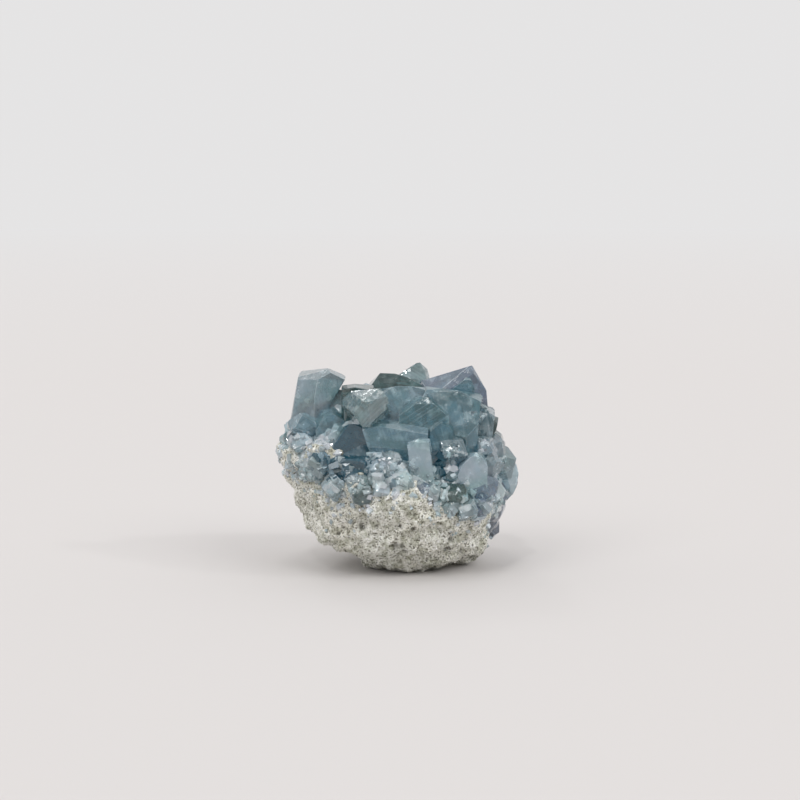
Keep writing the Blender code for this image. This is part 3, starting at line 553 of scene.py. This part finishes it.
def crystal_planes(shape):
    """The crystal's faces as (point, outward normal), in millimetres."""
    frame = growth_frame(shape.axis, shape.roll)
    tip = Vector(shape.tip)
    lean = math.radians(shape.taper)
    planes = []

    def add(direction, point):
        planes.append((tip + frame @ Vector(point), frame @ Vector(direction)))

    turned = [(math.pi / 2 * quarter, reach, 1) for quarter, reach in enumerate(shape.sides)]
    if shape.trim < 1:
        for quarter, reach in enumerate(shape.sides):
            after = shape.sides[(quarter + 1) % 4]
            angle = math.atan2(after, reach)
            angle = math.pi / 2 * quarter + (math.pi / 2 - angle if quarter % 2 else angle)
            turned.append((angle, math.hypot(reach, after), shape.trim))
    for angle, reach, share in turned:
        out = Vector((math.cos(angle), math.sin(angle), 0))
        add(out * math.cos(lean) + Vector((0, 0, math.sin(lean))), out * reach * share)
    for side, slope, setback in shape.roof:
        angle, rise = math.radians(side), math.radians(slope)
        aside = Vector((math.cos(angle), math.sin(angle), 0))
        out = aside * math.sin(rise)
        add(out + Vector((0, 0, math.cos(rise))), aside * setback)
    add((0, 0, -1), (0, 0, -shape.length))
    return planes


def cut_off(bm, point, normal):
    """Takes away what lies beyond a plane, and closes the cut."""
    everything = bm.verts[:] + bm.edges[:] + bm.faces[:]
    bmesh.ops.bisect_plane(
        bm, geom=everything, plane_co=point, plane_no=normal, dist=1e-4, clear_outer=True
    )
    open_edges = [edge for edge in bm.edges if edge.is_boundary]
    if open_edges:
        bmesh.ops.edgeloop_fill(bm, edges=open_edges)


def cut_crystal(shape, owner, chips=(), bevel=0.0):
    """A block cut down to the space behind every face of the crystal, with broken corners."""
    bm = bmesh.new()
    reach = max(shape.length, *shape.sides)
    bmesh.ops.create_cube(bm, size=6 * reach, matrix=Matrix.Translation(shape.tip))
    for point, normal in crystal_planes(shape):
        cut_off(bm, point, normal)
    for normal, depth in chips:
        corner = max(bm.verts, key=lambda vert: vert.co.dot(normal))
        cut_off(bm, corner.co - normal * depth, normal)
    rims = set()
    if bevel:
        rims.update(bmesh.ops.bevel(bm, geom=bm.edges[:], offset=bevel, segments=1,
                                    affect="EDGES", clamp_overlap=True)["faces"])
    bmesh.ops.recalc_face_normals(bm, faces=bm.faces)
    on_rim = [int(face in rims) for face in bm.faces]
    return marked(from_bmesh(bm, shape.name), owner, on_rim)


def marked(mesh, owner, on_rim=None):
    """Writes on each face which crystal it belongs to, and whether it's a bevelled edge."""
    count = len(mesh.polygons)
    write_layer(mesh, "owner", "INT", "FACE", [owner] * count)
    write_layer(mesh, "rim", "INT", "FACE", on_rim or [0] * count)
    return mesh


def random_chips(shape, dice, count):
    """Corners to break off, most of them near the crystal's tip."""
    up = Vector(shape.axis).normalized()
    return [(leaning(up, 1, dice), dice.uniform(*CHIP_DEPTH)) for _ in range(count)]


def small_crystals():
    """Crystals scattered over the crust, each pointing out of it and a little aside."""
    dice = random.Random(SEED)
    main_planes = [crystal_planes(shape) for shape in MAIN_CRYSTALS]
    main_rooms = [(shape, min(shape.sides) * MAIN_ROOM) for shape in MAIN_CRYSTALS]
    made = []
    for width in (size for size in SMALL_WIDTHS for _ in range(SMALL_TRIES)):
        ring = blended_ring(CRUST_RINGS, dice.uniform(*SMALL_BAND))
        root = ring_point(ring, dice.uniform(0, 2 * math.pi), CRUST_TILT)
        outwards = (root - SMALL_CENTRE).normalized()
        axis = leaning(outwards, SMALL_LEAN, dice)
        tip = root + outwards * (0.4 + 0.22 * width) + axis * dice.uniform(0, 0.2) * width
        sides = [width / 2 * dice.uniform(*SMALL_SIDES) for _ in range(4)]
        slopes = [dice.uniform(*SMALL_SLOPES) for _ in range(4)]
        roll = dice.uniform(0, 90)
        crowded = any(
            (tip - Vector(other.tip)).length < width * SMALL_SPACING + room
            for other, room in [(shape, 0) for shape in made] + main_rooms
        )
        hidden = any(
            all((tip - place).dot(normal) < SMALL_CLEARANCE for place, normal in planes)
            for planes in main_planes
        )
        if crowded or hidden or is_near(tip, BARE_PLACES) or len(made) == SMALL_LIMIT:
            continue
        roof = tuple((side, slope, 0) for side, slope in zip(SIDES, slopes))
        name = f"small_{len(made)}"
        made.append(crystal(name, "small", tip, axis, sides, roof, SMALL_LENGTH, roll, 3, 1))
    return made


def joined_with(mesh, cutters, operation):
    """The mesh with all the cutters added to it or taken from it."""
    group = bpy.data.collections.new("cutters")
    for cutter in cutters:
        group.objects.link(bpy.data.objects.new("cutter", cutter))
    body = bpy.data.objects.new("body", mesh)
    bpy.context.scene.collection.objects.link(body)
    modifier = body.modifiers.new("join", "BOOLEAN")
    modifier.operation = operation
    modifier.operand_type = "COLLECTION"
    modifier.collection = group
    modifier.solver = "MANIFOLD"
    graph = bpy.context.evaluated_depsgraph_get()
    result = bpy.data.meshes.new_from_object(body.evaluated_get(graph))
    for helper in (*group.objects, body):
        bpy.data.objects.remove(helper, do_unlink=True)
    bpy.data.collections.remove(group)
    return result


def stone_solid(node):
    """A copy of the limestone's solid, in the tables' millimetres, with its corners joined."""
    bm = bmesh.new()
    bm.from_mesh(node.data)
    bmesh.ops.transform(
        bm, matrix=Matrix.Translation(-RECENTRE) @ Matrix.Scale(1 / MM, 4), verts=bm.verts
    )
    bmesh.ops.remove_doubles(bm, verts=bm.verts, dist=1e-3)
    bmesh.ops.recalc_face_normals(bm, faces=bm.faces)
    bm.normal_update()
    return bm


class Surface:
    """Points picked evenly over a mesh, and distances to it."""

    def __init__(self, mesh):
        mesh.calc_loop_triangles()
        corners = read_values(mesh.loop_triangles, "vertices", 3, np.int32)
        places = read_values(mesh.vertices, "co", 3)
        self.triangles = places[corners]
        first, second, third = (self.triangles[:, i] for i in range(3))
        across = np.cross(second - first, third - first)
        twice_area = np.linalg.norm(across, axis=1)
        self.normals = across / np.maximum(twice_area, 1e-12)[:, None]
        self.areas = twice_area / 2
        self.tree = BVHTree.FromPolygons(list(map(tuple, places)), list(map(tuple, corners)))

    def pick(self, count, dice):
        """Random points on the mesh with their normals."""
        chosen = dice.choice(len(self.areas), count, p=self.areas / self.areas.sum())
        a, b = dice.random(count), dice.random(count)
        flip = a + b > 1
        a[flip], b[flip] = 1 - a[flip], 1 - b[flip]
        first, second, third = (self.triangles[chosen, i] for i in range(3))
        points = first + (second - first) * a[:, None] + (third - first) * b[:, None]
        return points, self.normals[chosen]

    def distance(self, point):
        """How far a point is from the mesh, negative inside it."""
        place, normal, _, gap = self.tree.find_nearest(point)
        return gap if (Vector(point) - place).dot(normal) > 0 else -gap


def tiny_crystals(habit, surface, other, odds, dice, chance):
    """Crystals of a habit at random points of a surface. odds gives their chance to be
    at a point and their size there, from the point and its distance to the other mesh."""
    made = []
    for point, normal in zip(*surface.pick(habit.count * habit.tries, dice)):
        if len(made) == habit.count:
            break
        point = Vector(point)
        likely, size = odds(point, other.distance(point))
        if likely is None or chance.random() > likely:
            continue
        width = chance.uniform(*habit.widths) * size
        axis = leaning(Vector(normal), habit.lean, chance)
        tip = point + axis * width * chance.uniform(*habit.rise)
        sides = [width / 2 * chance.uniform(*TINY_SIDES) for _ in range(4)]
        roof = tuple((side, chance.uniform(*habit.slopes), 0) for side in SIDES)
        roll, length = chance.uniform(0, 90), width * habit.length
        name = f"{habit.kind}_{len(made)}"
        made.append(crystal(name, habit.kind, tip, axis, sides, roof, length, roll, 3, 1))
    return made


def fringe_odds(point, gap):
    """Tiny crystals are thickest next to the limestone and at the fringe's spots."""
    if is_near(point, FRINGE_BARE):
        return None, 0
    thickness = math.exp(-((gap / FRINGE_REACH) ** 2)) if gap > -0.2 else 0
    for place, reach, most in FRINGE_SPOTS:
        away = (point - Vector(place)).length / reach
        thickness = max(thickness, most * (1 - away))
    return thickness, min(1, 0.45 + 0.25 * max(gap, 0))


def stray_odds(_, gap):
    """Strays in the limestone are fewer and smaller farther from the other crystals."""
    closeness = math.exp(-gap / STRAY_REACH)
    return closeness if gap > STRAY_GAP else None, 0.4 + 0.6 * closeness


def stray_mesh(stone, crystals):
    """Tiny crystals set in the limestone."""
    dice = np.random.default_rng(SEED + 6)
    shapes = tiny_crystals(STRAY, stone, crystals, stray_odds, dice, random.Random(SEED + 6))
    cutters = [cut_crystal(shape, owner) for owner, shape in enumerate(shapes, 1)]
    whole = joined_with(cutters[0], cutters[1:], "UNION")
    paint_crystals(whole, shapes, stone)
    return whole


def celestite_mesh(stone_bm):
    """All the crystals as one closed mesh that sits a little way into the limestone."""
    dice = random.Random(SEED + 1)
    shapes = [*MAIN_CRYSTALS, *small_crystals()]
    cutters = []
    for owner, shape in enumerate(shapes, 1):
        chip_count = MAIN_CHIPS if owner <= len(MAIN_CRYSTALS) else SMALL_CHIPS
        chips = random_chips(shape, dice, chip_count)
        cutters.append(cut_crystal(shape, owner, chips, EDGE_BEVEL))
    whole = joined_with(marked(from_bmesh(crust_body(), "crust"), 0), cutters, "UNION")

    stone = Surface(from_bmesh(stone_bm.copy(), "stone"))
    places = np.random.default_rng(SEED)
    chance = random.Random(SEED + 3)
    fringe = tiny_crystals(FRINGE, Surface(whole), stone, fringe_odds, places, chance)
    first = len(shapes) + 1
    cutters = [cut_crystal(shape, owner) for owner, shape in enumerate(fringe, first)]
    whole = joined_with(whole, cutters, "UNION")

    seat = stone_bm.copy()
    seat.normal_update()
    for vert in seat.verts:
        vert.co -= vert.normal * SEAT_DEPTH
    seated = joined_with(whole, [from_bmesh(seat, "seat")], "DIFFERENCE")
    paint_crystals(seated, shapes + fringe, stone)
    return seated


def looks_of(shapes):
    """The looks of the crust and of every crystal, in the order of their owner numbers."""
    dice = random.Random(SEED)
    looks = [LOOKS["sugar"]]
    for shape in shapes:
        look = shape.look
        if look in DRAWN_LOOKS:
            # Small and fringe crystals in a gap between crystals take a dark look as painted
            # shade.
            dark = look in ("small", "fringe") and is_near(shape.tip, PAINTED_SHADE_PLACES)
            look = dice.choice(DRAWN_LOOKS["dark" if dark else look])
        looks.append(LOOKS[look])
    return looks


def paint_looks(mesh, shapes, owners):
    """Each crystal's colour and traits, with the crust itself painted dark as shade in the gaps.
    """
    looks = [*looks_of(shapes), LOOKS["deep"]]
    centres = read_values(mesh.polygons, "center", 3)
    painted = owners.copy()
    # The crust in the gaps takes the deep look as painted shade.
    for place, reach in PAINTED_SHADE_PLACES:
        near = np.linalg.norm(centres - place, axis=1) < reach + PAINTED_SHADE_MARGIN
        painted[(owners == 0) & near] = len(looks) - 1
    colours = np.array([(*look.colour, look.clarity) for look in looks], np.float32)
    traits = np.array([(look.haze, look.glitter, look.streak, 1) for look in looks], np.float32)
    write_layer(mesh, "tint", "FLOAT_COLOR", "FACE", colours[painted].ravel())
    write_layer(mesh, "traits", "FLOAT_COLOR", "FACE", traits[painted].ravel())


def paint_stripes(mesh, shapes, owners):
    """How far along the direction of its crystal's growth lines each corner lies."""
    directions = np.array([STRIPE] + [STRIPES.get(shape.name, STRIPE) for shape in shapes])
    frames = [Matrix.Identity(3)] + [growth_frame(shape.axis, shape.roll) for shape in shapes]
    frames = np.array([list(map(tuple, frame)) for frame in frames])
    tips = np.array([(0, 0, 0)] + [tuple(shape.tip) for shape in shapes])
    corners = read_values(mesh.loops, "vertex_index", 1, np.int32)
    owners = np.repeat(owners, read_values(mesh.polygons, "loop_total", 1, np.int32))
    aside = read_values(mesh.vertices, "co", 3)[corners] - tips[owners]
    local = np.einsum("nji,nj->ni", frames[owners], aside) * MM
    stripes = np.einsum("ni,ni->n", local, directions[owners])
    write_layer(mesh, "stripes", "FLOAT", "CORNER", stripes.astype(np.float32))


def paint_frost_and_rim_highlight(mesh, shapes, owners, stone):
    """Frost that fades away from the limestone, and a painted highlight on some bevelled edges."""
    most = [CRUST_FROST] + [MAIN_FROST if shape.look in LOOKS else 1 for shape in shapes]
    rims = read_values(mesh.attributes["rim"].data, "value", 1, np.int32)
    dice = random.Random(SEED + 4)
    frost_and_rim_highlight = []
    for polygon, owner, rim in zip(mesh.polygons, owners, rims):
        gap = max(stone.distance(polygon.center), 0)
        # A painted highlight on some bevelled edges.
        edge = rim * dice.choice(PAINTED_RIM_HIGHLIGHT)
        frost_and_rim_highlight.append(max(most[owner] * math.exp(-gap / FROST_REACH), edge))
    write_layer(mesh, "frost_and_rim_highlight", "FLOAT", "FACE", frost_and_rim_highlight)


def paint_crystals(mesh, shapes, stone):
    """Writes the layers that the crystals' material reads."""
    owners = read_values(mesh.attributes["owner"].data, "value", 1, np.int32)
    paint_looks(mesh, shapes, owners)
    paint_stripes(mesh, shapes, owners)
    paint_frost_and_rim_highlight(mesh, shapes, owners, stone)


def sunk(point, pits):
    """How deep the pits take a point of the limestone, and how dark the painted shade in them is
    there.
    """
    depth = 0
    shade = 0
    for pit in pits:
        share = (point - pit.place).length / pit.radius
        if share < 1:
            hollow = (1 - share * share) ** 2
            depth += pit.depth * hollow
            shade = max(shade, hollow)
    return depth, shade


def stone_mesh(stone_bm):
    """The limestone with a broken surface, remade from the solid in even cells."""
    source = mesh_object("stone_source", from_bmesh(stone_bm.copy(), "stone_source"))
    remesh = source.modifiers.new("cells", "REMESH")
    remesh.mode = "VOXEL"
    remesh.voxel_size = STONE_VOXEL
    graph = bpy.context.evaluated_depsgraph_get()
    mesh = bpy.data.meshes.new_from_object(source.evaluated_get(graph))
    bpy.data.objects.remove(source, do_unlink=True)

    dice = np.random.default_rng(SEED + 5)
    holes, _ = Surface(mesh).pick(HOLE_COUNT, dice)
    pits = [pit._replace(place=Vector(pit.place)) for pit in STONE_PITS]
    for hole in holes:
        radius = dice.uniform(*HOLE_RADII)
        pits.append(Pit(Vector(hole), radius, radius * dice.uniform(*HOLE_DEPTHS)))

    bm = bmesh.new()
    bm.from_mesh(mesh)
    bm.normal_update()
    painted_pit_shades = []
    moves = []
    for vert in bm.verts:
        lift = relief(vert.co, STONE_LUMPS, SEED)
        nearest = noise.voronoi(vert.co / STONE_CELL)[0]
        lift += STONE_CELL_HEIGHT * (STONE_CELL_LEVEL - nearest[0])
        depth, shade = sunk(vert.co, pits)
        moves.append(vert.normal * (lift - depth))
        painted_pit_shades.append(shade)
    for vert, move in zip(bm.verts, moves):
        if vert.co.z > FOOT_HEIGHT:
            vert.co += move
        vert.co.z = max(vert.co.z, 0)
    mesh = from_bmesh(bm, "stone")
    # The pits' painted shade, for the material.
    write_layer(mesh, "hollow", "FLOAT", "POINT", painted_pit_shades)
    for polygon in mesh.polygons:
        polygon.use_smooth = True
    return mesh, pits


def grain_mesh(places, sizes, shades, dice):
    """One mesh of many small broken grains, each with its own shade."""
    template = np.array([(1, 0, 0), (-1, 0, 0), (0, 1, 0), (0, -1, 0), (0, 0, 1), (0, 0, -1)])
    faces = np.array([(0, 2, 4), (2, 1, 4), (1, 3, 4), (3, 0, 4),
                      (2, 0, 5), (1, 2, 5), (3, 1, 5), (0, 3, 5)])
    count = len(places)
    turns, _ = np.linalg.qr(dice.normal(size=(count, 3, 3)))
    turns *= np.sign(np.linalg.det(turns))[:, None, None]
    stretched = template[None] * dice.uniform(*GRAIN_STRETCH, (count, 6, 1))
    knocked = stretched + dice.normal(0, GRAIN_SHIFT, (count, 6, 3))
    corners = np.einsum("nij,nkj->nki", turns, knocked) * sizes[:, None, None] / 2
    corners += places[:, None]
    corners[..., 2] = np.maximum(corners[..., 2], 0.02)
    mesh = bpy.data.meshes.new("grains")
    triangles = faces[None] + 6 * np.arange(count)[:, None, None]
    mesh.from_pydata(corners.reshape(-1, 3).tolist(), [], triangles.reshape(-1, 3).tolist())
    write_layer(mesh, "shade", "FLOAT", "FACE", np.repeat(shades, 8).astype(np.float32))
    return mesh


def stone_grains(stone, crystals, pits):
    """Grains all over the bare limestone, apart from its pits and its foot."""
    dice = np.random.default_rng(SEED + 9)
    points, normals = stone.pick(GRAIN_COUNT * 2, dice)
    middles = [(pit.place, 0.75 * pit.radius) for pit in pits]
    places = []
    for point, normal in zip(points, normals):
        hollow = is_near(point, middles)
        if point[2] > 0.5 and not hollow and crystals.distance(point) > 0.05:
            places.append(point + normal * 0.04)
    places = np.array(places[:GRAIN_COUNT])
    sizes = dice.uniform(*GRAIN_SIZES, len(places)) * dice.uniform(0.6, 1, len(places))
    return grain_mesh(places, sizes, dice.random(len(places)), dice)


def crystal_dust(crystals, stone):
    """Pale sand on the crystals, thickest next to the limestone."""
    dice = np.random.default_rng(SEED + 10)
    points, _ = crystals.pick(DUST_COUNT * 30, dice)
    # No sand where the gaps are painted dark as shade.
    painted_shade_places = [(place, reach + PAINTED_SHADE_MARGIN) for place, reach in PAINTED_SHADE_PLACES]
    places = []
    for point in points:
        gap = stone.distance(point)
        dark = is_near(point, painted_shade_places)
        if gap > 0.1 and not dark and dice.random() < math.exp(-gap / DUST_REACH):
            places.append(point)
    places = np.array(places[:DUST_COUNT])
    sizes = dice.uniform(*DUST_SIZES, len(places))
    return grain_mesh(places, sizes, dice.uniform(0.6, 1, len(places)), dice)


class Nodes:
    """A short way to write the nodes of a material or the world."""

    def __init__(self, owner, shader="Principled BSDF"):
        owner.use_nodes = True
        self.owner = owner
        self.tree = owner.node_tree
        self.shader = self.tree.nodes[shader]

    def add(self, kind, *inputs, **values):
        """A node with its first sockets set, and others and its settings by their names."""
        node = self.tree.nodes.new("ShaderNode" + kind)
        for key, value in values.items():
            if hasattr(node, key):
                setattr(node, key, value)
            else:
                self.set(node, key.replace("_", " "), value)
        for socket, value in enumerate(inputs):
            self.set(node, socket, value)
        return node

    def set(self, node, socket, value):
        target = node.inputs[socket]
        if hasattr(value, "is_output"):
            self.tree.links.new(value, target)
        else:
            target.default_value = value

    def finish(self, **values):
        """Sets the shader's sockets, with an underscore for each space in their names."""
        for name, value in values.items():
            self.set(self.shader, name.replace("_", " "), value)
        return self.owner

    def maths(self, operation, first, second):
        return self.add("Math", first, second, operation=operation).outputs[0]

    def vector_maths(self, operation, *inputs, **values):
        return self.add("VectorMath", *inputs, operation=operation, **values).outputs[0]

    def ramp(self, factor, *stops):
        node = self.add("ValToRGB", factor)
        elements = node.color_ramp.elements
        while len(elements) < len(stops):
            elements.new(0.5)
        for element, (place, colour) in zip(elements, stops):
            element.position = place
            element.color = (*colour, 1)
        return node.outputs[0]

    def mix(self, factor, first, second, blend="MIX"):
        node = self.add("Mix", factor, data_type="RGBA", blend_type=blend)
        self.set(node, 6, first)
        self.set(node, 7, second)
        return node.outputs[2]

    def stretch(self, *value_and_ranges, **how):
        """Maps a value from a low and high onto a new low and high, and keeps it there."""
        return self.add("MapRange", *value_and_ranges, **how).outputs[0]

    def noise(self, size_mm, detail, vector, roughness=0.5):
        scale = 1 / (size_mm * MM)
        node = self.add("TexNoise", Scale=scale, Detail=detail, Roughness=roughness, Vector=vector)
        return node.outputs["Fac"]

    def cells(self, size_mm, vector):
        return self.add("TexVoronoi", Scale=1 / (size_mm * MM), Vector=vector).outputs

    def attribute(self, name, output):
        return self.add("Attribute", attribute_name=name).outputs[output]


def celestite_material():
    """Clear and hazy crystal, coloured by the layers of paint_crystals."""
    n = Nodes(bpy.data.materials.new("celestite_look"))
    place = n.add("TexCoord").outputs["Object"]
    tint = n.attribute("tint", "Color")
    clarity = n.attribute("tint", "Alpha")
    haze, glitter, streak = n.add("SeparateColor", n.attribute("traits", "Color")).outputs
    frost_and_rim_highlight = n.attribute("frost_and_rim_highlight", "Fac")
    stripes = n.add("CombineXYZ", n.attribute("stripes", "Fac")).outputs[0]

    cloud = n.noise(6, 3, place)
    veil = n.noise(2.2, 2, place, 0.5)
    streaks = n.noise(0.7, 2, stripes, 0.6)
    streaked = n.maths("MULTIPLY", streak, n.stretch(streaks, 0.42, 0.62, 0, 1))
    white_share = n.stretch(clarity, 0.25, 0.65, 0.02, 0.5)

    tone = n.ramp(cloud, (0.34, (0.76, 0.88, 0.84)), (0.45, (0.94, 0.97, 0.96)),
                  (0.54, (1.02, 1.0, 1.01)), (0.66, (1.25, 1.14, 1.18)))
    shaded = n.mix(1.0, tint, tone, "MULTIPLY")
    veiled = n.maths("MULTIPLY", n.stretch(veil, 0.48, 0.72, 0, 0.9), clarity)
    colour = n.mix(veiled, shaded, n.mix(0.22, shaded, VEIL_COLOUR))
    # Frost, and the painted highlight on bevelled edges, whiten the colour.
    colour = n.mix(n.maths("MULTIPLY", frost_and_rim_highlight, white_share), colour, FROST_AND_HIGHLIGHT_COLOUR)
    colour = n.mix(n.maths("MULTIPLY", streaked, white_share), colour, STREAK_COLOUR)

    cleared = n.maths("SUBTRACT", clarity, n.stretch(veil, 0.5, 0.75, 0, 0.2))
    cleared = n.maths("SUBTRACT", cleared, n.maths("MULTIPLY", frost_and_rim_highlight, 0.2))
    cleared = n.maths("SUBTRACT", cleared, n.maths("MULTIPLY", streaked, 0.25))

    tilt = n.vector_maths("SUBTRACT", n.cells(1.1, place)["Color"], (0.5, 0.5, 0.5))
    sparkle = n.vector_maths("SCALE", tilt, Scale=n.maths("MULTIPLY", glitter, 0.4))
    grooves = n.maths("MULTIPLY", streaks, n.maths("ADD", streak, 0.15))
    ripples = n.maths("ADD", n.noise(2.5, 4, place), grooves)
    bump = n.add("Bump", Strength=0.5, Distance=0.0002, Height=ripples)
    facets = n.vector_maths("NORMALIZE", n.vector_maths("ADD", bump.outputs[0], sparkle))

    absorb = n.add("VolumeAbsorption", Color=INNER_COLOUR, Density=INNER_DENSITY)
    n.set(n.tree.nodes["Material Output"], "Volume", absorb.outputs[0])
    return n.finish(
        Base_Color=colour,
        Transmission_Weight=n.maths("MAXIMUM", cleared, 0.1),
        Roughness=n.maths("ADD", haze, n.stretch(veil, 0.4, 0.7, 0, 0.12)),
        IOR=CELESTITE_IOR,
        Normal=facets,
        Coat_Weight=0.6,
        Coat_Roughness=0.04,
        Coat_IOR=1.6,
        Coat_Normal=facets,
    )


def with_moss(n, colour, place):
    """The limestone's colour with greener patches."""
    patches = n.noise(2.4, 4, place, 0.6)
    moss = n.ramp(patches, (0.38, (0.50, 0.51, 0.43)), (0.54, (1, 1, 1)))
    return n.mix(0.8, colour, moss, "MULTIPLY")


def stone_material():
    """Pale limestone with grains, mossy patches, specks and painted shade in its hollows."""
    n = Nodes(bpy.data.materials.new("limestone_look"))
    place = n.add("TexCoord").outputs["Object"]
    grain = n.cells(0.36, place)
    shade = n.add("SeparateColor", grain["Color"]).outputs[0]
    grains = n.ramp(shade, (0, (0.13, 0.125, 0.095)), (0.1, (0.38, 0.37, 0.31)),
                    (0.22, (0.72, 0.72, 0.65)), (0.7, (0.95, 0.95, 0.885)), (1, GRAIN_WHITE))
    warm = n.ramp(n.noise(9, 3, place), (0.4, (1, 1, 1)), (0.7, (1, 0.98, 0.95)))
    colour = with_moss(n, n.mix(1.0, grains, warm, "MULTIPLY"), place)
    specks = n.noise(0.6, 4, place, 0.65)
    dark = n.ramp(specks, (0.34, (0.22, 0.21, 0.17)), (0.44, (1, 1, 1)))
    colour = n.mix(0.75, colour, dark, "MULTIPLY")
    # Painted shade darkens the pits.
    hollow = n.maths("MULTIPLY", n.attribute("hollow", "Fac"), 0.9)
    colour = n.mix(hollow, colour, PIT_SHADE_COLOUR)
    relief_height = n.maths("SUBTRACT", n.noise(0.3, 3, place), grain["Distance"])
    bump = n.add("Bump", Strength=0.7, Distance=0.0003, Height=relief_height)
    return n.finish(Base_Color=colour, Roughness=0.85, Normal=bump.outputs[0])


def grain_material():
    """The same limestone for loose grains, each with the shade of its layer."""
    n = Nodes(bpy.data.materials.new("grain_look"))
    place = n.add("TexCoord").outputs["Object"]
    shade = n.attribute("shade", "Fac")
    grains = n.ramp(shade, (0, (0.13, 0.125, 0.10)), (0.08, (0.34, 0.33, 0.28)),
                    (0.18, (0.68, 0.68, 0.62)), (0.7, (0.94, 0.94, 0.885)), (1, GRAIN_WHITE))
    return n.finish(Base_Color=with_moss(n, grains, place), Roughness=0.5)


def add_stage():
    """A round floor that fades out into the backdrop, so that no horizon shows."""
    bm = bmesh.new()
    bmesh.ops.create_circle(bm, cap_ends=True, segments=96, radius=FLOOR_RADIUS)
    n = Nodes(bpy.data.materials.new("floor_look"))
    place = n.add("TexCoord").outputs["Object"]
    distance = n.add("VectorMath", place, operation="LENGTH").outputs["Value"]
    far = n.add("Emission", WORLD_COLOUR, BACKDROP_STRENGTH).outputs[0]
    fade = n.stretch(distance, *FLOOR_FADE, 0, 1)
    blend = n.add("MixShader", fade, n.shader.outputs[0], far)
    n.set(n.tree.nodes["Material Output"], "Surface", blend.outputs[0])
    n.finish(Base_Color=FLOOR_COLOUR, Roughness=0.9, Specular_IOR_Level=0.1)
    mesh_object("floor", from_bmesh(bm, "floor"), n.owner)


def add_world():
    """A pale backdrop behind the object, brighter overhead and darker behind the viewer."""
    world = bpy.data.worlds.new("world")
    bpy.context.scene.world = world
    n = Nodes(world, "Background")
    parts = n.add("SeparateXYZ", n.add("TexCoord").outputs["Generated"])
    smooth = {"interpolation_type": "SMOOTHSTEP"}
    ranges = (-0.5, 0.2, VIEWER_SIDE_STRENGTH, BACKDROP_STRENGTH)
    around = n.stretch(parts.outputs["Y"], *ranges, **smooth)
    overhead = n.stretch(parts.outputs["Z"], 0.35, 0.8, 0, OVERHEAD_STRENGTH, **smooth)
    n.finish(Color=WORLD_COLOUR, Strength=n.maths("ADD", around, overhead))


def add_sun(name, azimuth, height, spread, strength):
    """A soft distant light."""
    data = bpy.data.lights.new(name, "SUN")
    data.energy = strength
    data.angle = math.radians(spread)
    lamp = bpy.data.objects.new(name, data)
    turn, rise = math.radians(azimuth), math.radians(height)
    towards = Vector(
        (math.sin(turn) * math.cos(rise), -math.cos(turn) * math.cos(rise), math.sin(rise))
    )
    lamp.location = towards
    lamp.rotation_euler = (-towards).to_track_quat("-Z", "Y").to_euler()
    lamp.visible_camera = False
    bpy.context.scene.collection.objects.link(lamp)


def add_camera():
    data = bpy.data.cameras.new("camera")
    data.lens = CAMERA_LENS
    data.clip_start = 0.01
    data.clip_end = 50
    camera = bpy.data.objects.new("camera", data)
    rise = math.radians(CAMERA_HEIGHT_ANGLE)
    away = Vector((0, -math.cos(rise), math.sin(rise))) * CAMERA_DISTANCE
    camera.location = (away + Vector((0, 0, CAMERA_CENTRE))) * MM
    camera.rotation_euler = (math.radians(90 - CAMERA_PITCH), 0, 0)
    bpy.context.scene.collection.objects.link(camera)
    bpy.context.scene.camera = camera


def add_piece(name, mesh, finish, slot, *replaced):
    piece = mesh_object(name, to_world(mesh), finish)
    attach(piece, "root")
    if replaced:
        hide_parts(*replaced)


def main():
    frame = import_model()
    add_camera()
    bpy.context.scene.view_settings.view_transform = "Standard"
    add_world()
    add_stage()
    for name, values in SUNS.items():
        add_sun(name, *values)

    stone_bm = stone_solid(frame["nodes"]["matrix"])
    crystals = celestite_mesh(stone_bm)
    stone, pits = stone_mesh(stone_bm)
    crystal_surface, stone_surface = Surface(crystals), Surface(stone)
    strays = stray_mesh(stone_surface, crystal_surface)
    grains = stone_grains(stone_surface, crystal_surface, pits)
    dust = crystal_dust(crystal_surface, stone_surface)
    clear, sandy = celestite_material(), grain_material()
    add_piece("crystals", crystals, clear, "celestite", "celestite")
    add_piece("stray_crystals", strays, clear, "celestite")
    add_piece("stone", stone, stone_material(), "limestone", "matrix")
    add_piece("stone_grains", grains, sandy, "limestone")
    add_piece("crystal_dust", dust, sandy, "limestone")


main()
